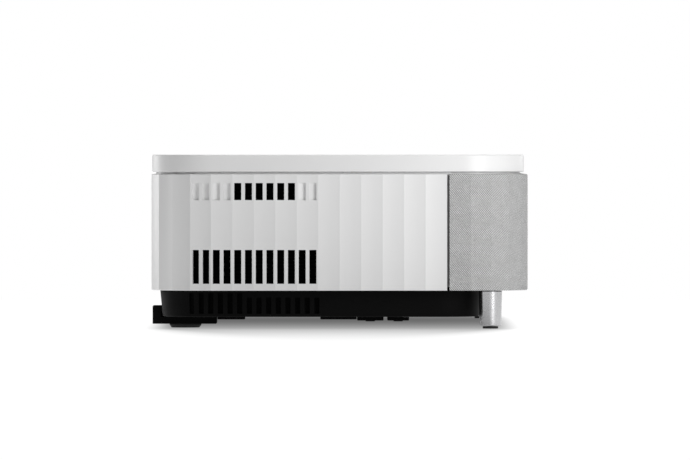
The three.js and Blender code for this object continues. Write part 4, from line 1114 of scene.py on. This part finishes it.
for word in ("left", "right"):
    low, high = span(f"front_{word}_leg")
    x, y = (low[0] + high[0]) / 2, (low[1] + high[1]) / 2
    section = np.concatenate([[(0, low[2] + 6)], leg_section(low, high)])
    made = turned(section, "z", (x, y, 0), 96)
    replaced = [f"front_{word}_leg"]
    piece(f"turned_leg_{word}", *made, f"{word}_foot_screw", satin_metal, "satin_metal", replaced)
    corners = [(0, 0), (4, 0), (4.6, 0.5), (5.4, 0), (7, 0), (7, 2), (2.1, 2), (2.1, 8), (0, 8)]
    pad = turned(eased(corners, [0, 0, 0, 0, 0.5, 0.4, 0, 0.4, 0], 3), "z", (x, y, 0), 72)
    piece(f"leg_pad_{word}", *pad, f"{word}_foot_pad", rubber, "black_rubber", [f"front_{word}_pad"])


# %% Rear pads
for word in ("left", "right"):
    low, high = span(f"rear_{word}_foot_pad")
    x, y = (low[0] + high[0]) / 2, (low[1] + high[1]) / 2
    under = [(0, 0), (9, 0), (9.6, 0.5), (10.4, 0), (12.6, 0), (14.5, 2.6)]
    corners = under + [(14.5, 3.3), (5, 3.3), (5, 6.3), (0, 6.3)]
    pad = turned(eased(corners, [0, 0, 0, 0, 0.4, 0.4, 0.2, 0, 0.5, 0], 3), "z", (x, y, 0), 80)
    piece(f"bracket_pad_{word}", *pad, "chassis", rubber, "black_rubber", [f"rear_{word}_foot_pad"])

# %% [markdown]
# ## Softening the engineering pieces
#
# Brackets, sockets and cast housings already have their true shape, but their edges are razor
# sharp. Each is copied, its triangles are welded back into flat faces, and a narrow bevel rounds
# its edges.


# %% Round the edges of a mechanical piece
def softened(node, body, finish, width=0.4):
    """A copy of a node with its flat faces whole again and a bevel of that width in mm."""
    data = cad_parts[node].data.copy()
    data.name = node + "_finished"
    work = bmesh.new()
    work.from_mesh(data)
    bmesh.ops.remove_doubles(work, verts=work.verts, dist=1e-6)
    bmesh.ops.dissolve_limit(work, angle_limit=math.radians(1), verts=work.verts, edges=work.edges)
    work.to_mesh(data)
    work.free()
    data.materials.clear()
    data.materials.append(finish)
    data.polygons.foreach_set("use_smooth", np.ones(len(data.polygons), bool))
    data.set_sharp_from_angle(angle=math.radians(35))
    made = bpy.data.objects.new(node + "_finished", data)
    bpy.context.scene.collection.objects.link(made)
    soften(made, width, 40)
    return settle(made, body, [node])


for word in ("left", "right"):
    softened(f"rear_{word}_foot_bracket", "chassis", black_plastic, 0.7)
softened("port_tray", "chassis", dark_plastic, 0.4)
softened("ac_inlet", "chassis", black_plastic, 0.4)
for name in ("video_port_1", "video_port_2", "data_port", "audio_port"):
    softened(name, "chassis", bright_metal, 0.15)


# %% Tongues and contacts inside the sockets
def tongues():
    parts = []
    sizes = (("video_port_1", 10.5, 1.6), ("video_port_2", 10.5, 1.6), ("data_port", 11.0, 2.0))
    for name, wide, tall in sizes:
        low, high = span(name)
        x, z = (low[0] + high[0]) / 2, (low[2] + high[2]) / 2
        lift = 0 if name != "data_port" else 1.3
        y0, y1, z0 = low[1] + 1.5, high[1] - 2.5, z + lift - tall / 2
        parts.append(block(x - wide / 2, x + wide / 2, y0, y1, z0, z0 + tall, 0.5, 0.2, 3))
    return together(*parts)


piece("socket_tongues", *tongues(), "chassis", black_plastic, "black_plastic")

# %% [markdown]
# ## Fans
#
# A blade is a curved, twisted sheet: from hub to tip it leans back round the axis and flattens.
# One blade is worked out as a grid, thickened, and turned round the hub seven times.


# %% Rotors
def rotor(node, body, side):
    low, high = span(node)
    frame_low, frame_high = span(node.replace("rotor", "frame"))
    y, z = (frame_low[1] + frame_high[1]) / 2, (frame_low[2] + frame_high[2]) / 2
    size = frame_high[1] - frame_low[1]
    hub, tip = size * 0.19, size / 2 - 3.4
    x0, x1 = low[0], high[0]
    u = np.linspace(-0.5, 0.5, 9)[None]
    v = np.linspace(0, 1, 9)[:, None]
    radius = hub * 0.92 + (tip - hub * 0.92) * v
    angle = u * (0.95 - 0.25 * v) - 0.5 * v ** 1.5 + 0 * u
    depth = (x1 - x0 - 2.5) * (0.95 - 0.25 * v) * (u + 0.12 * np.cos(math.pi * u)) + (x0 + x1) / 2
    skins = []
    for lift in (0.5, -0.5):
        a = angle + lift / radius
        skins.append(np.stack([depth + 0 * a, y + radius * np.cos(a), z + radius * np.sin(a)], -1))
    points, faces, _ = walled(skins[0], skins[1], np.ones((8, 8), bool))
    blades = []
    for k in range(7):
        turn = 2 * math.pi * k / 7
        c, s = math.cos(turn), math.sin(turn)
        spin = np.array([[1, 0, 0], [0, c, -s], [0, s, c]])
        blades.append(((points - (0, y, z)) @ spin.T + (0, y, z), faces))
    out, back = (x1, x0) if side > 0 else (x0, x1)
    cap = eased([(0, out), (hub, out), (hub, back), (0, back)], [0, 1.5, 0.3, 0], 4)
    made = together(turned(cap, "x", (0, y, z), 48), *blades)
    piece(node.replace("_rotor", "_impeller"), *made, body, dark_plastic, "black_plastic", [node], 35)


rotor("exhaust_fan_rear_rotor", "rear_exhaust_rotor", -1)
rotor("exhaust_fan_front_rotor", "front_exhaust_rotor", -1)
rotor("intake_fan_rotor", "intake_rotor", 1)

# %% [markdown]
# ## Drivers, lenses and mirror
#
# All of these are turned or dished shapes, so each is a section spun about its axis, or a grid
# sunk by a formula.


# %% Speaker cones
def cone(node):
    low, high = span(node)
    x, z = (low[0] + high[0]) / 2, (low[2] + high[2]) / 2
    r = (high[0] - low[0]) / 2
    face, deep = low[1], high[1] - low[1]
    t = np.linspace(0, 1, 12)
    roll = np.stack([r * (1 - 0.16 * t), face + 2.5 - 2.3 * np.sin(math.pi * t)], -1)
    paper = np.stack([r * (0.84 - 0.52 * t), face + 2.5 + (deep - 4) * t ** 1.25], -1)
    cap = np.stack([r * 0.32 * (1 - t), face + deep - 1.5 - 5 * np.sin(t * math.pi / 2)], -1)
    front = np.concatenate([roll, paper[1:], cap[1:]])
    back = front[::-1] + [0, 1.2]
    piece(node + "_paper", *turned(np.concatenate([front, back]), "y", (x, 0, z), 64),
          "chassis", cone_paper, "black_plastic", [node], 60)


for name in ("left_speaker_cone", "right_speaker_cone", "woofer_cone"):
    cone(name)


# %% Ground lenses
def ground_lens(node, body):
    """Two spherical caps and a cylindrical edge: height = bulge * (1 - (r / radius)^2)."""
    low, high = span(node)
    x, z = (low[0] + high[0]) / 2, (low[2] + high[2]) / 2
    radius, thick = (high[0] - low[0]) / 2, high[1] - low[1]
    r = np.linspace(0, radius, 14)
    bulge = thick * 0.36
    front = np.stack([r, low[1] + bulge * (r / radius) ** 2], -1)
    back = np.stack([r[::-1], high[1] - thick * 0.2 * (r[::-1] / radius) ** 2], -1)
    piece(node + "_glass", *turned(np.concatenate([front, back]), "y", (x, 0, z), 72),
          body, dark_glass, "dark_glass", [node], 50)


ground_lens("front_lens", "chassis")
ground_lens("focus_lens", "focus_group")

# %% [markdown]
# ## Finishes for the pieces that stay
#
# The gears, the frame ring and the housings inside keep their mechanical meshes. They only need
# their finish, and the larger castings get soft edges too.

# %% Give the carried-over pieces their finishes
for name in ("laser_housing", "optics_block"):
    softened(name, "chassis", cast_metal, 0.8)
for name in ("exhaust_fan_rear_frame", "exhaust_fan_front_frame", "intake_fan_frame"):
    softened(name, "chassis", dark_plastic, 0.4)

kept = {
    "top_frame": white_plastic, "front_grille": dark_plastic, "front_baffle": dark_plastic,
    "shutter_rack": dark_plastic, "shutter_pinion": cut_brass, "shutter_motor": bright_metal,
    "projection_mirror": mirror, "lens_barrel": black_plastic, "focus_cell": cast_metal,
    "focus_ring": black_plastic, "focus_pinion": cut_brass, "focus_motor": bright_metal,
    "prism_cube": dark_glass, "lcd_panel_red": board, "lcd_panel_green": board,
    "lcd_panel_blue": board, "phosphor_wheel": phosphor, "laser_heat_sink": bright_metal,
    "air_filter": foam, "left_speaker_basket": cast_metal, "right_speaker_basket": cast_metal,
    "woofer_basket": cast_metal, "main_board": board, "power_supply": board,
}
for name, finish in kept.items():
    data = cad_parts[name].data
    data.materials.clear()
    data.materials.append(finish)
print(len(kept), "pieces keep their mesh")

# %% [markdown]
# ## The studio
#
# The projector stands on a white floor in a white studio. A soft key light in front of the left
# side models the flutes, a second one behind the rear corner draws its edge, two weak ones light
# the sides that face away, and a wide light overhead lights the top. The floor glows, so that it
# stays white up to the horizon, and its glow fades in a soft patch where the body would shade it.
# The picture is taken level, from the left side, with a long lens, so that uprights stay upright.


# %% Floor and white surroundings
def floor():
    finish = Finish("studio floor")
    speck = finish.noise(3.0, 2.0)
    split = {"Vector": finish.place()}
    x, y = (finish.node("SeparateXYZ", None, split, output=k) for k in (0, 1))

    def ramp(value, start, end):
        """Smooth step from 0 at start to 1 at end."""
        span = {"Value": value, "From Min": start, "From Max": end, "To Min": 0.0, "To Max": 1.0}
        return finish.node("MapRange", {"interpolation_type": "SMOOTHSTEP"}, span)

    past = -WIDTH / 2000 - x  # how far beyond the left side, in metres
    spread = 0.125 * (past.size() + past)  # the shade's edges draw in beyond the body
    shade = ramp(x, -1.22, 0.22) * (1.0 - ramp(x, 0.36, 0.6))
    shade = shade * (1.0 - ramp(y, 0.150 - spread, 0.181)) * ramp(y, -0.167, spread - 0.136)
    finish.surface(
        Base_Color=finish.between(speck, grey(0.10), grey(0.11)),
        Roughness=0.9,
        Specular_IOR_Level=0.0,
        Emission_Color=finish.between(shade, grey(1.0), grey(0.15)),
        Emission_Strength=1.0,
    )
    data = bpy.data.meshes.new("studio_floor")
    data.from_pydata([(-5.5, -3, 0), (1.6, -3, 0), (1.6, 3, 0), (-5.5, 3, 0)], [], [(0, 1, 2, 3)])
    data.materials.append(finish.material)
    made = bpy.data.objects.new("studio_floor", data)
    bpy.context.scene.collection.objects.link(made)


def flag():
    """A black card on the left that keeps light off the rear half."""
    finish = Finish("black card")
    nap = finish.noise(200.0, 3.0)
    finish.surface(Base_Color=finish.between(nap, grey(0.01), grey(0.02)), Roughness=0.95)
    points = [(-0.98, 0.80, 0.05), (-0.49, 1.07, 0.05), (-0.49, 1.07, 0.75), (-0.98, 0.80, 0.75)]
    data = bpy.data.meshes.new("black_card")
    data.from_pydata(points, [], [(0, 1, 2, 3)])
    data.materials.append(finish.material)
    made = bpy.data.objects.new("black_card", data)
    made.visible_camera = False
    bpy.context.scene.collection.objects.link(made)


floor()
flag()
world = bpy.data.worlds.new("white studio")
bpy.context.scene.world = world
world.use_nodes = True
nodes, links = world.node_tree.nodes, world.node_tree.links
nodes.clear()
lit, seen = nodes.new("ShaderNodeBackground"), nodes.new("ShaderNodeBackground")
lit.inputs["Strength"].default_value = 0.15
seen.inputs["Strength"].default_value = 1.0
for background in (lit, seen):
    background.inputs["Color"].default_value = (1, 1, 1, 1)
ray, mix = nodes.new("ShaderNodeLightPath"), nodes.new("ShaderNodeMixShader")
out = nodes.new("ShaderNodeOutputWorld")
links.new(ray.outputs["Is Camera Ray"], mix.inputs[0])
links.new(lit.outputs[0], mix.inputs[1])
links.new(seen.outputs[0], mix.inputs[2])
links.new(mix.outputs[0], out.inputs["Surface"])


# %% Lights
def soft_light(name, place, aim, size, power):
    """A square soft light of that size in metres, turned to face aim."""
    data = bpy.data.lights.new(name, "AREA")
    data.shape = "RECTANGLE"
    data.size, data.size_y = size
    data.energy = power
    made = bpy.data.objects.new(name, data)
    made.location = place
    way = np.array(aim, float) - np.array(place, float)
    made.rotation_euler = Vector(way).to_track_quat("-Z", "Y").to_euler()
    made.visible_camera = False
    bpy.context.scene.collection.objects.link(made)


soft_light("key", (-0.73, -0.34, 0.2), (-0.34, -0.13, 0.09), (0.2, 0.3), 1.27)
soft_light("rear edge", (0.1, 0.57, 0.2), (-0.32, 0.15, 0.09), (0.2, 0.3), 0.6)
soft_light("front fill", (0.95, -1.0, 0.4), (0.1, -0.1, 0.08), (0.5, 0.4), 4)
soft_light("rear fill", (0.95, 1.0, 0.4), (0.1, 0.1, 0.08), (0.5, 0.4), 2)
soft_light("overhead", (-0.2, 0.0, 2.4), (-0.2, 0.0, 0.0), (1.6, 1.6), 31)

# %% The camera
camera_data = bpy.data.cameras.new("side camera")
camera_data.sensor_width = 36
camera_data.lens = 36 * 10 / 0.625  # 0.625 m fill the width, ten metres away
camera_data.shift_y = -(LID_TOP / 1000 - 0.0888) / 0.625
camera_data.clip_end = 100
camera = bpy.data.objects.new("side camera", camera_data)
camera.location = (-0.2895 - 10, -0.0049, LID_TOP / 1000)
camera.rotation_euler = (math.pi / 2, 0, -math.pi / 2)
bpy.context.scene.collection.objects.link(camera)
bpy.context.scene.camera = camera
bpy.context.scene.view_settings.view_transform = "Standard"
